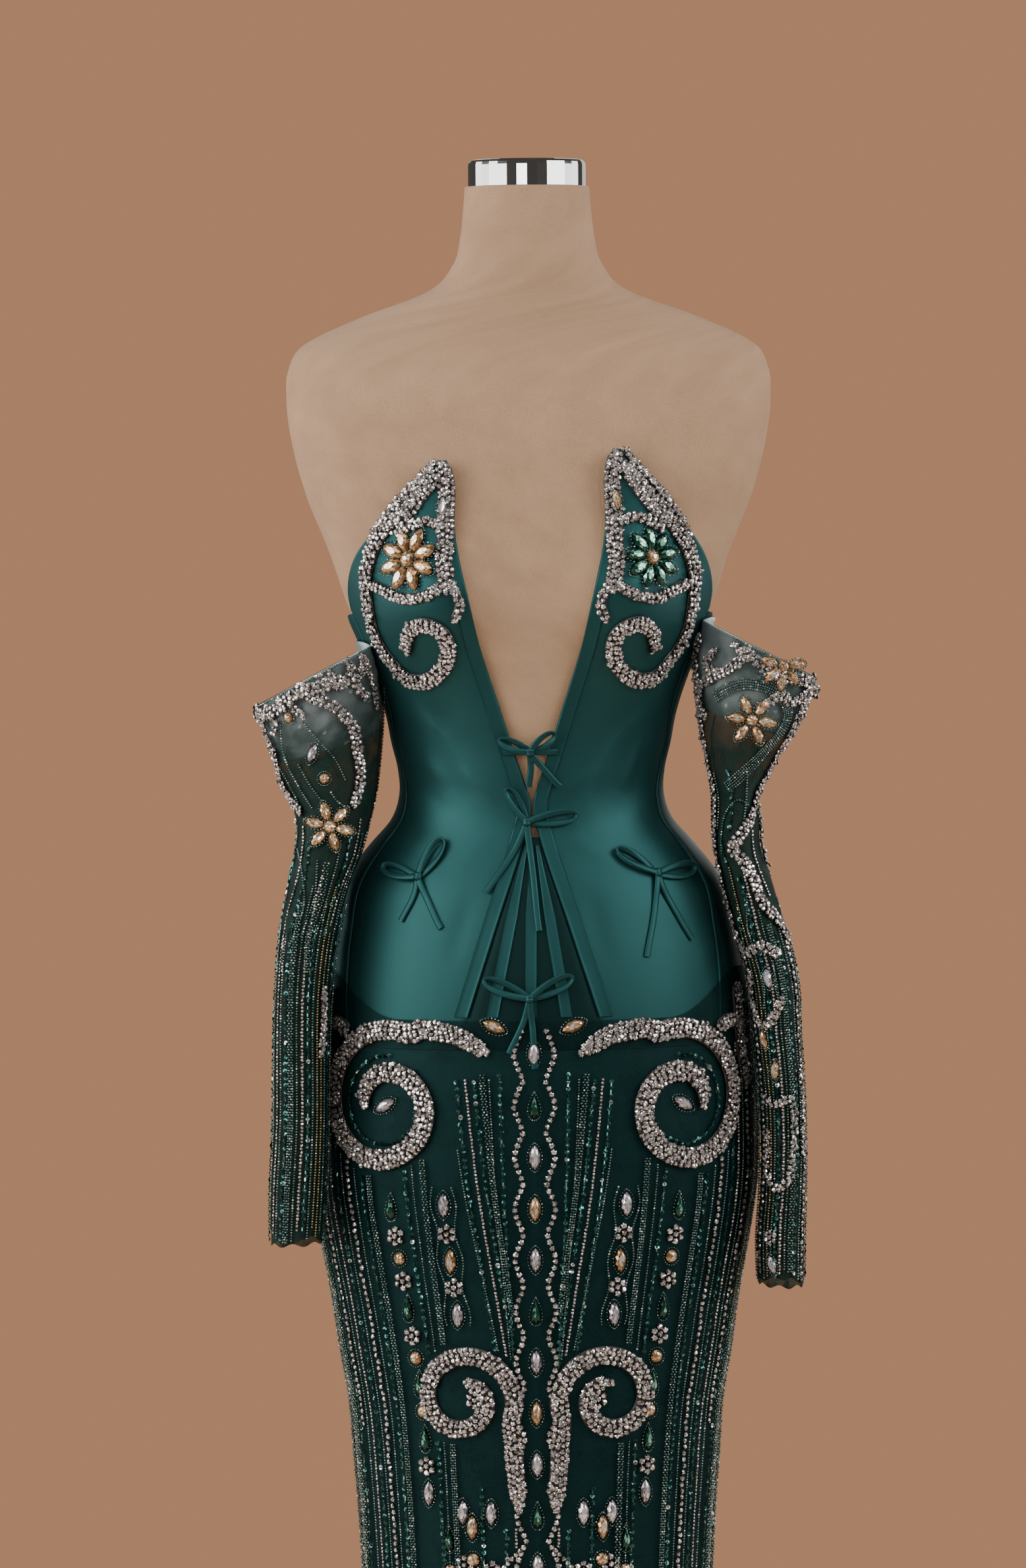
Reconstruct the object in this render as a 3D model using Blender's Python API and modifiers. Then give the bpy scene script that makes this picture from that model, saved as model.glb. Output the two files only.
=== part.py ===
# Column evening dress on a limbless dress form.
# Metres, +Z up, floor at z = 0. The front faces -Y, and left and right are as seen from the front.
# Lengths in the tables are in millimetres, and MM turns them into metres.

import math

import bmesh
import bpy
import numpy as np
from mathutils import Matrix, Vector

MM = 0.001

# Layers, as distances out from the surface of the dress form
FORM_TO_CLOTH = 1.2 * MM
FORM_INSET = 1.0 * MM
SATIN = 1.8 * MM
OVERLAY_GAP = 0.5 * MM
OVERLAY = 1.0 * MM
TRIM_GAP = 0.5 * MM
RIBBON = 1.0 * MM
SEAM = 0.3 * MM
SATIN_FACE = FORM_TO_CLOTH + SATIN
OVERLAY_BACK = SATIN_FACE + OVERLAY_GAP
OVERLAY_FACE = OVERLAY_BACK + OVERLAY

# Heights
HIP_SEAM = 0.868
HEM = 0.030
FORM_FOOT = 0.720
SLIT_TOP = 0.450
SLIT_HALF_AT_HEM = 5 * MM
SIDE_TOP = 1.215
BACK_TOP = 1.192
EVEN_BELOW = 1.130

# The form and the skirt below it, a section for each height
BODY = {
    "columns": ("z", "half_width", "centre_y", "half_depth", "squareness"),
    "rows": (
        (30, 132, 0, 108, 2.0),
        (200, 129, 0, 105, 2.0),
        (350, 130, 0, 104, 2.0),
        (449, 134, 0, 105, 2.0),
        (491, 136.5, 0, 106, 2.0),
        (534, 140, 0, 107, 2.0),
        (577, 143.5, 0, 108, 2.0),
        (620, 151, 1, 110, 2.0),
        (665, 158, 2, 113, 2.0),
        (700, 165, 4, 116, 2.0),
        (755, 174, 6, 120, 2.0),
        (820, 175, 9, 124, 2.0),
        (884, 172, 12, 125, 2.0),
        (925, 168, 13, 122, 2.0),
        (959, 161, 12, 116, 2.0),
        (1000, 148, 9, 104, 2.0),
        (1025, 129, 6, 93, 2.0),
        (1046, 111, 3, 86, 2.0),
        (1067, 104, 1, 83, 2.0),
        (1089, 105, 0, 83.5, 2.0),
        (1110, 110, 0, 85, 2.0),
        (1131, 114, 0, 88, 2.05),
        (1175, 129, 1, 94, 2.1),
        (1217, 147, 2, 99, 2.15),
        (1260, 161.5, 3, 101, 2.3),
        (1302, 177.4, 4, 101, 2.45),
        (1345, 189.7, 5, 98, 2.5),
        (1388, 195.3, 6, 91, 2.45),
        (1409, 194, 6, 84, 2.3),
        (1430, 182, 5, 76, 2.1),
        (1452, 136, 2, 68, 2.0),
        (1473, 80, -4, 62, 2.0),
        (1494, 60, -9, 57, 2.0),
        (1516, 54, -13, 53, 2.0),
        (1537, 51.5, -15, 51, 2.0),
        (1556, 50, -16, 50, 2.0),
    ),
}
SHOULDER_ROWS = (1390, 1412, 1428, 1438, 1447, 1456, 1466, 1480, 1505, 1530, 1556)
# Rounded swellings on the sections: how far out, where, and how wide and tall
BUST = {"out": 25 * MM, "x": 78 * MM, "z": 1.226, "wide": 44 * MM, "tall": 50 * MM}
SEAT = {"out": 12 * MM, "x": 72 * MM, "z": 0.890, "wide": 60 * MM, "tall": 85 * MM}
CUP_STAND_OFF = 7 * MM

# Inner edge of each front: the gusset's side, the foot of the V, and the V up to the cup's tip
INNER_EDGE = {
    "columns": ("z", "x"),
    "rows": (
        (868, 60),
        (968, 28),
        (1039, 5),
        (1053, 1.4),
        (1065, 1.6),
        (1076, 4.5),
        (1096, 11),
        (1123, 19.5),
        (1141, 25),
        (1171, 35),
        (1193, 42),
        (1225, 50),
        (1252, 56),
        (1282, 60),
        (1305, 60.5),
        (1328, 61),
        (1345, 65),
    ),
}
# Outer edge of the cup, above the top of the side seam
CUP_EDGE = {
    "columns": ("z", "x"),
    "rows": (
        (1215, 141.5),
        (1232, 144.5),
        (1260, 139),
        (1284, 124),
        (1316, 98),
        (1336, 80),
        (1345, 71),
    ),
}
# Side seam, as a share of the half width
SIDE_SEAM = {
    "columns": ("z", "share"),
    "rows": ((868, 0.85), (977, 0.90), (1047, 0.93), (1100, 0.965), (1170, 0.95), (1215, 0.962)),
}
SIDE_BACK_ANGLE = math.radians(122)
BAND_WIDTH = 11 * MM
BAND_TOP = 1.292
GUSSET_TOP = 1.036
RIBBON_FOOT = 0.8944
# Fan ribbons, as shares of the gusset's half width, and their widest
FAN_SHARES = (-0.62, -0.04, 0.50)
FAN_WIDTH = 9.5 * MM
FAN_TOP = 1.029

SKIRT_ROWS = (30, 160, 300, 449, 534, 600, 665, 710, 755, 810, 868)
OVERLAY_TOP = 0.8917
OVERLAY_SIDE_RISE = 36 * MM
OVERLAY_STAND_OFF = 1.0 * MM

# Sleeves: ring centre, half width, half depth, and the rise of the ring per metre towards the body
SLEEVE_LEFT = {
    "columns": ("z", "x", "y", "half_width", "half_depth", "rise"),
    "rows": (
        (712, -190.8, -66, 21, 29, 0.05),
        (753, -189.4, -66, 22, 30, 0.0),
        (805, -187.4, -66, 21.6, 31, 0.0),
        (858, -186.3, -65, 21.6, 32, 0.0),
        (910, -184.0, -64, 22, 33, 0.0),
        (963, -178.0, -58, 23.4, 35, 0.0),
        (1000, -170.5, -52, 25, 37, 0.0),
        (1025, -163.0, -46, 27.6, 39, 0.0),
        (1046, -159.0, -40, 29.6, 41, 0.05),
        (1067, -159.0, -34, 34.8, 43, 0.12),
        (1089, -160.8, -30, 40, 45, 0.22),
        (1112, -163.0, -27, 44.5, 47, 0.32),
        (1142, -166.6, -25, 48.5, 49, 0.44),
        (1168, -169.0, -24, 49.5, 50, 0.52),
    ),
}
SLEEVE_RIGHT = {
    "columns": ("z", "x", "y", "half_width", "half_depth", "rise"),
    "rows": (
        (672, 198.0, -30, 18, 32, -0.05),
        (708, 198.0, -30, 18.6, 33, 0.0),
        (750, 199.8, -30, 17.8, 34, 0.0),
        (792, 200.0, -30, 17.8, 35, 0.0),
        (833, 198.6, -31, 18.2, 36, 0.0),
        (875, 195.5, -32, 18.8, 37, 0.0),
        (918, 192.5, -33, 20, 38, 0.0),
        (961, 182.0, -33, 20.8, 39, 0.0),
        (1003, 171.0, -33, 20.2, 41, 0.0),
        (1025, 165.0, -32, 19, 42, 0.0),
        (1046, 163.4, -31, 18.6, 43, 0.0),
        (1067, 163.4, -30, 18.8, 44, -0.05),
        (1089, 165.0, -28, 25, 45, -0.15),
        (1110, 167.5, -26, 32, 47, -0.28),
        (1131, 172.0, -24, 40.5, 49, -0.38),
        (1160, 177.0, -23, 47, 51, -0.48),
        (1186, 180.0, -22, 48, 52, -0.52),
    ),
}
SLEEVE_SIDES = 16
SLEEVE_ROWS = 10
SLEEVE = 1.0 * MM
SLEEVE_CLEAR = 1.6 * MM
FACING = 0.8 * MM
FACING_DEEP = 48 * MM
COLLAR_DEEP = 22 * MM
COLLAR_THICK = 4.0 * MM
COLLAR_SIDES = 10

# Bead flowers: the cup's by distance from the centre line and height, the sleeve's by angle, height and
# how far off the rings they stand, to clear the facets between two rings
FLOWER_RADIUS = 18.5 * MM
FLOWER_TALL = 5.5 * MM
CUP_FLOWERS = ((-1, "left", (94, 1258), "champagne"), (1, "right", (94, 1258), "emerald"))
SLEEVE_FLOWERS = ((SLEEVE_LEFT, "left", -94, 1046, 2.6), (SLEEVE_RIGHT, "right", -84, 1128, 1.1))

# Crystal-encrusted scrolls
CUP_SCROLL_GAP = 0.9 * MM
SCROLL_HALF = 10 * MM
SCROLL_CROWN = 4.2 * MM
SCROLL_EDGE = 1.2 * MM

# Narrow satin tube of the bows
TUBE_WIDE = 4.4 * MM
TUBE_THICK = 2.2 * MM
KNOT = 4.4 * MM
KNOT_THICK = 3.2 * MM

# Dress form's metal parts
CAP_RADIUS = 47.2 * MM
CAP_HEIGHT = 21.3 * MM
CAP_ROUND = 4.5 * MM
CAP_FOOT = 1.5563
POLE_RADIUS = 16 * MM
BASE_RADIUS = 160 * MM
BASE_THICK = 12 * MM
BASE_ROUND = 4 * MM
SOCKET_RADIUS = 30 * MM
SOCKET_TALL = 40 * MM

# Zip slider and pull tab, at the top of the centre back
ZIP_Z = 1.168
SLIDER = {"wide": 6.2 * MM, "thick": 2.0 * MM, "tall": 9.0 * MM}
EAR = {"thick": 1.1 * MM, "reach": 3.6 * MM, "tall": 3.6 * MM}
PIN_RADIUS = 0.7 * MM
PIN_OUT = 2.3 * MM
KNUCKLE_RADIUS = 1.9 * MM
KNUCKLE_HOLE = 1.05 * MM
KNUCKLE_WIDE = 3.2 * MM
TAB = {"wide": 4.8 * MM, "thick": 1.3 * MM, "long": 20 * MM, "neck": 3.4 * MM}

MATERIALS = {
    "satin": ((0.020, 0.110, 0.108), 0.34, 0.0),
    "tulle": ((0.008, 0.045, 0.040), 0.60, 0.0),
    "organza": ((0.25, 0.32, 0.32), 0.45, 0.0),
    "crystal": ((0.62, 0.56, 0.55), 0.15, 0.6),
    "champagne": ((0.60, 0.42, 0.22), 0.15, 0.5),
    "emerald": ((0.01, 0.16, 0.09), 0.15, 0.3),
    "jersey": ((0.46, 0.33, 0.235), 0.85, 0.0),
    "chrome": ((0.60, 0.60, 0.62), 0.08, 1.0),
    "painted_steel": ((0.10, 0.10, 0.11), 0.35, 0.8),
    "zip_metal": ((0.30, 0.36, 0.35), 0.30, 1.0),
}


# Scene, collections and materials
for old in list(bpy.data.objects):
    bpy.data.objects.remove(old, do_unlink=True)
dress = bpy.data.collections.new("evening_dress")
bpy.context.scene.collection.children.link(dress)
root = bpy.data.objects.new("dress_on_form", None)
dress.objects.link(root)


def material(name):
    made = bpy.data.materials.get(name)
    if made is None:
        colour, roughness, metallic = MATERIALS[name]
        made = bpy.data.materials.new(name)
        made.use_nodes = True
        shader = made.node_tree.nodes["Principled BSDF"]
        shader.inputs["Base Color"].default_value = (*colour, 1)
        shader.inputs["Roughness"].default_value = roughness
        shader.inputs["Metallic"].default_value = metallic
    return made


def add(name, mesh, finish, smooth=True):
    mesh.materials.clear()
    mesh.materials.append(material(finish))
    if smooth:
        mesh.shade_smooth()
        mesh.set_sharp_from_angle(angle=math.radians(35))
    made = bpy.data.objects.new(name, mesh)
    dress.objects.link(made)
    made.parent = root
    return made


# Smooth curves through the tables' rows
def between(table, column, z):
    rows = np.array(table["rows"], float)
    heights, values = rows[:, 0] * MM, rows[:, table["columns"].index(column)]
    slopes = np.gradient(values, heights)
    z = np.clip(z, heights[0], heights[-1])
    i = np.clip(np.searchsorted(heights, z) - 1, 0, len(heights) - 2)
    step = heights[i + 1] - heights[i]
    t = (z - heights[i]) / step
    start = (2 * t**3 - 3 * t**2 + 1) * values[i] + (t**3 - 2 * t**2 + t) * step * slopes[i]
    end = (3 * t**2 - 2 * t**3) * values[i + 1] + (t**3 - t**2) * step * slopes[i + 1]
    return start + end


def ease(low, high, value):
    t = np.clip((value - low) / (high - low), 0, 1)
    return t * t * (3 - 2 * t)


# The body's surface. turn is 0 at the front, 90 degrees at +X and 180 at the back, and an even step of
# turn is an even step round an ellipse.
def section(z):
    sizes = [between(BODY, column, z) * MM for column in ("half_width", "centre_y", "half_depth")]
    return (*sizes, between(BODY, "squareness", z))


def swelling(shape, x, z):
    bump = 0
    for side in (-1, 1):
        across = (x - side * shape["x"]) / shape["wide"]
        up = (z - shape["z"]) / shape["tall"]
        bump = bump + np.exp(-(across**2) - up**2)
    return shape["out"] * bump


def body(turn, z):
    half_width, centre_y, half_depth, squareness = section(z)
    around = np.arctan2(half_width * np.sin(turn), half_depth * np.cos(turn))
    sine, cosine = np.sin(around), np.cos(around)
    power = (np.abs(sine) / half_width) ** squareness + (np.abs(cosine) / half_depth) ** squareness
    radius = power ** (-1 / squareness)
    x = radius * sine
    y = centre_y - radius * cosine
    y = y - swelling(BUST, x, z) * ease(0, 0.45, cosine)
    y = y + swelling(SEAT, x, z) * ease(0, 0.45, -cosine)
    return np.stack(np.broadcast_arrays(x, y, z), axis=-1)


def outward(turn, z):
    across = body(turn + 0.01, z) - body(turn - 0.01, z)
    up = body(turn, z + 2 * MM) - body(turn, z - 2 * MM)
    normal = np.cross(across, up)
    return normal / np.linalg.norm(normal, axis=-1, keepdims=True)


def cup_lift(turn, z):
    """The cups stand off the chest towards their tips."""
    return CUP_STAND_OFF * ease(1.255, 1.345, z) * ease(0, 0.5, np.cos(turn))


def layer(turn, z, out):
    """A point that far out from the body, over the cups' own lift."""
    turn, z = np.broadcast_arrays(np.asarray(turn, float), np.asarray(z, float))
    out = np.broadcast_to(np.asarray(out, float) + cup_lift(turn, z), turn.shape)
    return body(turn, z) + outward(turn, z) * out[..., None]


def turn_of_x(x, z):
    half_width, _, half_depth, squareness = section(z)
    share = np.clip(np.abs(x) / half_width, 0, 1)
    depth = half_depth * (1 - share**squareness) ** (1 / squareness)
    return np.sign(x) * np.arctan2(np.abs(x) * half_depth, depth * half_width)


def step_of(turn, z, distance):
    """The step of turn that moves a point that far across the surface."""
    ahead = body(turn + 0.005, z) - body(turn - 0.005, z)
    return distance * 0.01 / np.linalg.norm(ahead, axis=-1)


ARC_TURNS = np.linspace(0, math.pi, 181)


def turn_of_arc(arc, z):
    """The turn at a distance along the surface from the front's centre line, for each point."""
    found = []
    for a, height in zip(np.ravel(arc), np.ravel(z), strict=True):
        line = body(ARC_TURNS, np.full(ARC_TURNS.shape, height))
        lengths = np.concatenate([[0], np.cumsum(np.linalg.norm(np.diff(line, axis=0), axis=1))])
        found.append(math.copysign(np.interp(abs(a), lengths, ARC_TURNS), a))
    return np.array(found).reshape(np.shape(arc))


# Solids from grids of points
def facets(index):
    """Two triangles for each cell of a grid, split the same way in every layer."""
    a, b, c, d = index[:-1, :-1], index[:-1, 1:], index[1:, 1:], index[1:, :-1]
    return np.concatenate([np.stack([a, b, c], -1).reshape(-1, 3), np.stack([a, c, d], -1).reshape(-1, 3)])


def solid(name, points, faces, finish):
    mesh = bpy.data.meshes.new(name)
    mesh.from_pydata([tuple(p) for p in points], [], [tuple(int(i) for i in f) for f in faces])
    welded = bmesh.new()
    welded.from_mesh(mesh)
    bmesh.ops.recalc_face_normals(welded, faces=welded.faces)
    welded.to_mesh(mesh)
    welded.free()
    return add(name, mesh, finish)


def wall(name, inner, outer, finish, closed=False):
    """A closed wall between two grids of points, rows by columns. A closed one joins its last column to its first."""
    rows, columns = inner.shape[:2]
    index = np.arange(rows * columns).reshape(rows, columns)
    if closed:
        index = np.concatenate([index, index[:, :1]], axis=1)
    far = index + rows * columns
    faces = [facets(far), facets(index)[:, ::-1]]
    faces += [facets(np.stack([index[0], far[0]])), facets(np.stack([far[-1], index[-1]]))]
    if not closed:
        faces += [facets(np.stack([far[:, 0], index[:, 0]])), facets(np.stack([index[:, -1], far[:, -1]]))]
    points = np.concatenate([inner.reshape(-1, 3), outer.reshape(-1, 3)])
    return solid(name, points, np.concatenate(faces), finish)


def skin(name, turn, z, low, high, finish, closed=False):
    return wall(name, layer(turn, z, low), layer(turn, z, high), finish, closed)


def stack_of_rings(name, rings, finish):
    """A closed solid through rings of points, capped at both ends."""
    rows, columns = rings.shape[:2]
    index = np.arange(rows * columns).reshape(rows, columns)
    faces = [tuple(f) for f in facets(np.concatenate([index, index[:, :1]], axis=1))]
    faces += [tuple(index[0][::-1]), tuple(index[-1])]
    return solid(name, rings.reshape(-1, 3), faces, finish)


# Dress form
def form_torso():
    heights = np.concatenate([np.linspace(FORM_FOOT, 0.98, 6), np.linspace(1.01, 1.11, 6),
                              np.linspace(1.14, 1.36, 8), np.array(SHOULDER_ROWS) * MM])
    turn, z = np.meshgrid(np.linspace(-math.pi, math.pi, 31)[:-1], heights)
    inset = FORM_INSET * (1 - ease(1.275, 1.31, z))
    return stack_of_rings("form_torso", body(turn, z) - outward(turn, z) * inset[..., None], "jersey")


def turned(name, profile, finish, sides, centre):
    """A solid turned about the vertical from a profile of (radius, height), from its top to its foot."""
    mesh = bpy.data.meshes.new(name)
    mesh.from_pydata([(r, 0, z) for r, z in profile], [(i, i + 1) for i in range(len(profile) - 1)], [])
    made = add(name, mesh, finish, smooth=False)
    made.location = centre
    screw = made.modifiers.new("turn", "SCREW")
    screw.steps = screw.render_steps = sides
    screw.use_merge_vertices = True
    screw.merge_threshold = 0.00001
    screw.use_smooth_shade = True
    return made


def rounded(radius, top, corner, steps=3):
    """The profile from the axis over a rounded top edge."""
    points = [(0, top)]
    for i in range(steps + 1):
        a = math.pi / 2 * (1 - i / steps)
        points.append((radius - corner + corner * math.cos(a), top - corner + corner * math.sin(a)))
    return points


def form_metal():
    neck_y = BODY["rows"][-1][2] * MM
    cap = [*rounded(CAP_RADIUS, CAP_HEIGHT, CAP_ROUND), (CAP_RADIUS, 0), (0, 0)]
    turned("form_neck_cap", cap, "chrome", 36, (0, neck_y, CAP_FOOT))
    foot = BASE_THICK + SOCKET_TALL
    pole = [(0, FORM_FOOT - SEAM), (POLE_RADIUS, FORM_FOOT - SEAM), (POLE_RADIUS, foot), (0, foot)]
    turned("form_pole", pole, "chrome", 20, (0, 0, 0))
    socket = [*rounded(SOCKET_RADIUS, foot - SEAM, BASE_ROUND, 2), (SOCKET_RADIUS, BASE_THICK + SEAM)]
    turned("form_socket", [*socket, (0, BASE_THICK + SEAM)], "chrome", 28, (0, 0, 0))
    plate = [*rounded(BASE_RADIUS, BASE_THICK, BASE_ROUND, 2), (BASE_RADIUS, 0), (0, 0)]
    turned("form_base", plate, "painted_steel", 36, (0, 0, 0))


# Bodice
def inner_x(z):
    return between(INNER_EDGE, "x", z) * MM


def side_x(z):
    return between(SIDE_SEAM, "share", z) * section(z)[0]


def outer_x(z):
    return np.where(z <= SIDE_TOP, side_x(z), between(CUP_EDGE, "x", z) * MM)


def top_edge(turn):
    return SIDE_TOP + (BACK_TOP - SIDE_TOP) * ease(math.radians(70), math.radians(150), np.abs(turn))


SIDE_ROWS = np.concatenate([np.linspace(HIP_SEAM + SEAM / 2, 1.03, 7), np.linspace(1.05, SIDE_TOP, 9)])
FRONT_ROWS = np.concatenate([SIDE_ROWS, np.linspace(1.238, 1.345, 5)])


def front_turns(side, columns, low_share=0.0, high_share=1.0):
    """Turns and heights of a front, from its inner edge to its side seam or its cup's edge."""
    z = FRONT_ROWS[:, None]
    share = np.linspace(low_share, high_share, columns)[None, :]
    seam = np.where(z <= SIDE_TOP, SEAM / 2, 0.0)
    x = inner_x(z) + SEAM / 2
    low = turn_of_x(x, z)
    high = turn_of_x(outer_x(z), z)
    high = high - step_of(high, z, seam)
    turn = low + share * (high - low)
    turn, z = np.broadcast_arrays(turn, z)
    if side < 0:
        return -turn[:, ::-1], z[:, ::-1]
    return turn, z


def bodice(side, word):
    turn, z = front_turns(side, 8)
    skin(f"bodice_front_{word}", turn, z, FORM_TO_CLOTH, SATIN_FACE, "satin")

    rows = SIDE_ROWS[:, None]
    seam = turn_of_x(side_x(rows), rows)
    for piece, low, high in (("side", seam, SIDE_BACK_ANGLE), ("back", SIDE_BACK_ANGLE, math.pi)):
        low = low + step_of(low, rows, SEAM / 2)
        high = high - step_of(high, rows, SEAM / 2)
        turn = low + np.linspace(0, 1, 6)[None, :] * (high - low)
        near_top = np.clip((rows - EVEN_BELOW) / (SIDE_TOP - EVEN_BELOW), 0, 1)
        z = rows + near_top * (top_edge(turn) - SIDE_TOP)
        if side < 0:
            turn, z = -turn[:, ::-1], z[:, ::-1]
        skin(f"bodice_{piece}_{word}", turn, z, FORM_TO_CLOTH, SATIN_FACE, "satin")


def gusset():
    z = np.linspace(HIP_SEAM + SEAM / 2, GUSSET_TOP, 8)[:, None]
    edge = turn_of_x(inner_x(z) - SEAM / 2, z)
    turn, z = np.broadcast_arrays(edge * np.linspace(-1, 1, 7)[None, :], z)
    skin("front_gusset", turn, z, FORM_TO_CLOTH, SATIN_FACE, "satin")


def edge_band(side, word):
    """Lies on the front, along its inner edge."""
    heights = FRONT_ROWS[(FRONT_ROWS > RIBBON_FOOT) & (FRONT_ROWS < BAND_TOP)]
    z = np.concatenate([[RIBBON_FOOT], heights, [BAND_TOP]])[:, None]
    low = turn_of_x(inner_x(z) + SEAM / 2, z)
    turn = low + step_of(low, z, BAND_WIDTH) * np.linspace(0, 1, 3)[None, :]
    turn, z = np.broadcast_arrays(turn, z)
    if side < 0:
        turn, z = -turn[:, ::-1], z[:, ::-1]
    base = SATIN_FACE + TRIM_GAP
    skin(f"edge_band_{word}", turn, z, base, base + RIBBON, "satin")


def fan_ribbons():
    base = SATIN_FACE + TRIM_GAP
    z = np.linspace(RIBBON_FOOT, FAN_TOP, 8)[:, None]
    gusset_half = inner_x(z)
    half = np.minimum(FAN_WIDTH, 0.36 * gusset_half) / 2
    for number, share in enumerate(FAN_SHARES, 1):
        x = share * gusset_half + half * np.array([[-1, 1]])
        turn, height = np.broadcast_arrays(turn_of_x(x, z), z)
        skin(f"fan_ribbon_{number}", turn, height, base, base + RIBBON, "satin")


# Skirt and overlay
def slit_half(z):
    return SEAM / 2 + SLIT_HALF_AT_HEM * np.clip((SLIT_TOP - z) / (SLIT_TOP - HEM), 0, 1) ** 1.4


def skirt_turns(piece, heights):
    """Turns of a skirt piece, the same for the satin and for the overlay on it."""
    quarter = math.pi / 2
    if piece == "front":
        share = np.linspace(-1, 1, 17)[None, :]
        return share * (quarter - step_of(quarter, heights, SEAM / 2))
    share = np.linspace(0, 1, 9)[None, :]
    low = quarter + step_of(quarter, heights, SEAM / 2)
    high = math.pi - step_of(math.pi, heights, slit_half(heights))
    turn = low + share * (high - low)
    return turn if piece == "back_right" else -turn[:, ::-1]


def skirt():
    heights = np.array(SKIRT_ROWS, float)[:, None] * MM
    heights[-1] = HIP_SEAM - SEAM / 2
    for piece in ("front", "back_left", "back_right"):
        turn = skirt_turns(piece, heights)
        turn, z = np.broadcast_arrays(turn, heights)
        skin(f"skirt_{piece}", turn, z, FORM_TO_CLOTH, SATIN_FACE, "satin")
        rise = OVERLAY_SIDE_RISE * ease(math.radians(38), math.radians(72), np.abs(turn[-1]))
        free = np.array([0.35, 0.7, 1.0])[:, None]
        z = np.concatenate([z, z[-1] + free * (OVERLAY_TOP + rise - z[-1])])
        turn = np.concatenate([turn, np.repeat(turn[-1:], 3, axis=0)])
        stand_off = OVERLAY_STAND_OFF * ease(SKIRT_ROWS[-2] * MM, HIP_SEAM - SEAM, z)
        skin(f"overlay_{piece}", turn, z, OVERLAY_BACK + stand_off, OVERLAY_FACE + stand_off, "tulle")


# Scrolls: a path on the surface, as distances across from the centre line and heights, swept with a low crown
def through(points, per_span):
    """A smooth curve through a few points."""
    p = np.array([points[0], *points, points[-1]], float)
    curve = []
    for i in range(1, len(p) - 2):
        for t in np.arange(per_span) / per_span:
            a, b, c, d = p[i - 1], p[i], p[i + 1], p[i + 2]
            curve.append(0.5 * (2 * b + (c - a) * t + (2 * a - 5 * b + 4 * c - d) * t**2
                                + (3 * b - a - 3 * c + d) * t**3))
    return np.array([*curve, p[-2]])


def volute(centre, start_radius, end_radius, start_degrees, sweep_degrees, count):
    """A spiral that shrinks evenly as it turns."""
    share = np.linspace(0, 1, count)
    angle = np.radians(start_degrees + sweep_degrees * share)
    radius = start_radius + (end_radius - start_radius) * share
    return np.stack([centre[0] + radius * np.cos(angle), centre[1] + radius * np.sin(angle)], axis=1)


def swept_scroll(name, path, base, side, half=SCROLL_HALF):
    path = np.array(path, float) * MM
    along = np.gradient(path, axis=0)
    along /= np.linalg.norm(along, axis=1, keepdims=True)
    across = np.stack([-along[:, 1], along[:, 0]], axis=1)
    ends = np.sqrt(np.clip(1 - (np.abs(np.linspace(-1, 1, len(path))) ** 12), 0, 1)) * 0.55 + 0.45
    shares = np.array([-1, 0, 1])
    grid = path[:, None, :] + across[:, None, :] * (shares[None, :, None] * half * ends[:, None, None])
    arc, z = side * grid[..., 0], grid[..., 1]
    turn = turn_of_arc(arc, z)
    height = np.array([SCROLL_EDGE, SCROLL_CROWN, SCROLL_EDGE])[None, :]
    return wall(name, layer(turn, z, base), layer(turn, z, base + height), "crystal")


def hip_scroll_path():
    """From beside the centre, over the hip, and round into a volute that opens to the side."""
    lead = through([(36, 866), (62, 880), (94, 885)], 3)
    return np.concatenate([lead[:-1], volute((122, 823), 62, 17, 112, -480, 23)])


def lower_scroll_path():
    """A stem that rises beside the centre and falls outwards into a volute."""
    lead = through([(14, 500), (17, 534), (19, 566)], 2)
    return np.concatenate([lead[:-1], volute((58, 589), 42, 13, 205, -470, 20)])


def cup_scroll_path():
    """Down the cup's outer edge, in under the bust, and up into a small volute."""
    lead = through([(76, 1331), (98, 1302), (127, 1272), (147, 1240), (144, 1206), (121, 1178)], 3)
    return np.concatenate([lead[:-1], volute((88, 1190), 30, 11, -56, -330, 13)])


def scrolls(side, word):
    on_overlay = OVERLAY_FACE + OVERLAY_GAP
    swept_scroll(f"hip_scroll_{word}", hip_scroll_path(), on_overlay + OVERLAY_STAND_OFF, side)
    swept_scroll(f"lower_scroll_{word}", lower_scroll_path(), on_overlay, side, 9 * MM)
    swept_scroll(f"cup_scroll_{word}", cup_scroll_path(), SATIN_FACE + CUP_SCROLL_GAP, side, 8 * MM)


# Bows
def joined(name, pieces, finish, hole=None):
    """One body from solids that overlap, less the hole's."""
    first, *others = pieces
    for other in [*others, hole] if hole else others:
        cut = first.modifiers.new("join", "BOOLEAN")
        cut.operation = "DIFFERENCE" if other == hole else "UNION"
        cut.object = other
    bpy.context.view_layer.update()
    seen = first.evaluated_get(bpy.context.evaluated_depsgraph_get())
    mesh = bpy.data.meshes.new_from_object(seen)
    mesh.transform(first.matrix_world)
    for piece in [*pieces, hole] if hole else pieces:
        bpy.data.objects.remove(piece, do_unlink=True)
    mesh.name = name
    return add(name, mesh, finish)


def strand(name, arc, z, out, turn_of=turn_of_arc):
    """A narrow flattened tube along a path over the surface."""
    turn = turn_of(arc, z)
    centre = layer(turn, z, out)
    normal = outward(turn, z)
    along = np.gradient(centre, axis=0)
    along /= np.linalg.norm(along, axis=1, keepdims=True)
    across = np.cross(along, normal)
    across /= np.linalg.norm(across, axis=1, keepdims=True)
    normal = np.cross(across, along)
    corners = np.radians([38, 142, 218, 322])
    wide = across[:, None, :] * (np.cos(corners) * 0.6 * TUBE_WIDE)[None, :, None]
    thick = normal[:, None, :] * (np.sin(corners) * 0.7 * TUBE_THICK)[None, :, None]
    return stack_of_rings(name, centre[:, None, :] + wide + thick, "satin")


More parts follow.
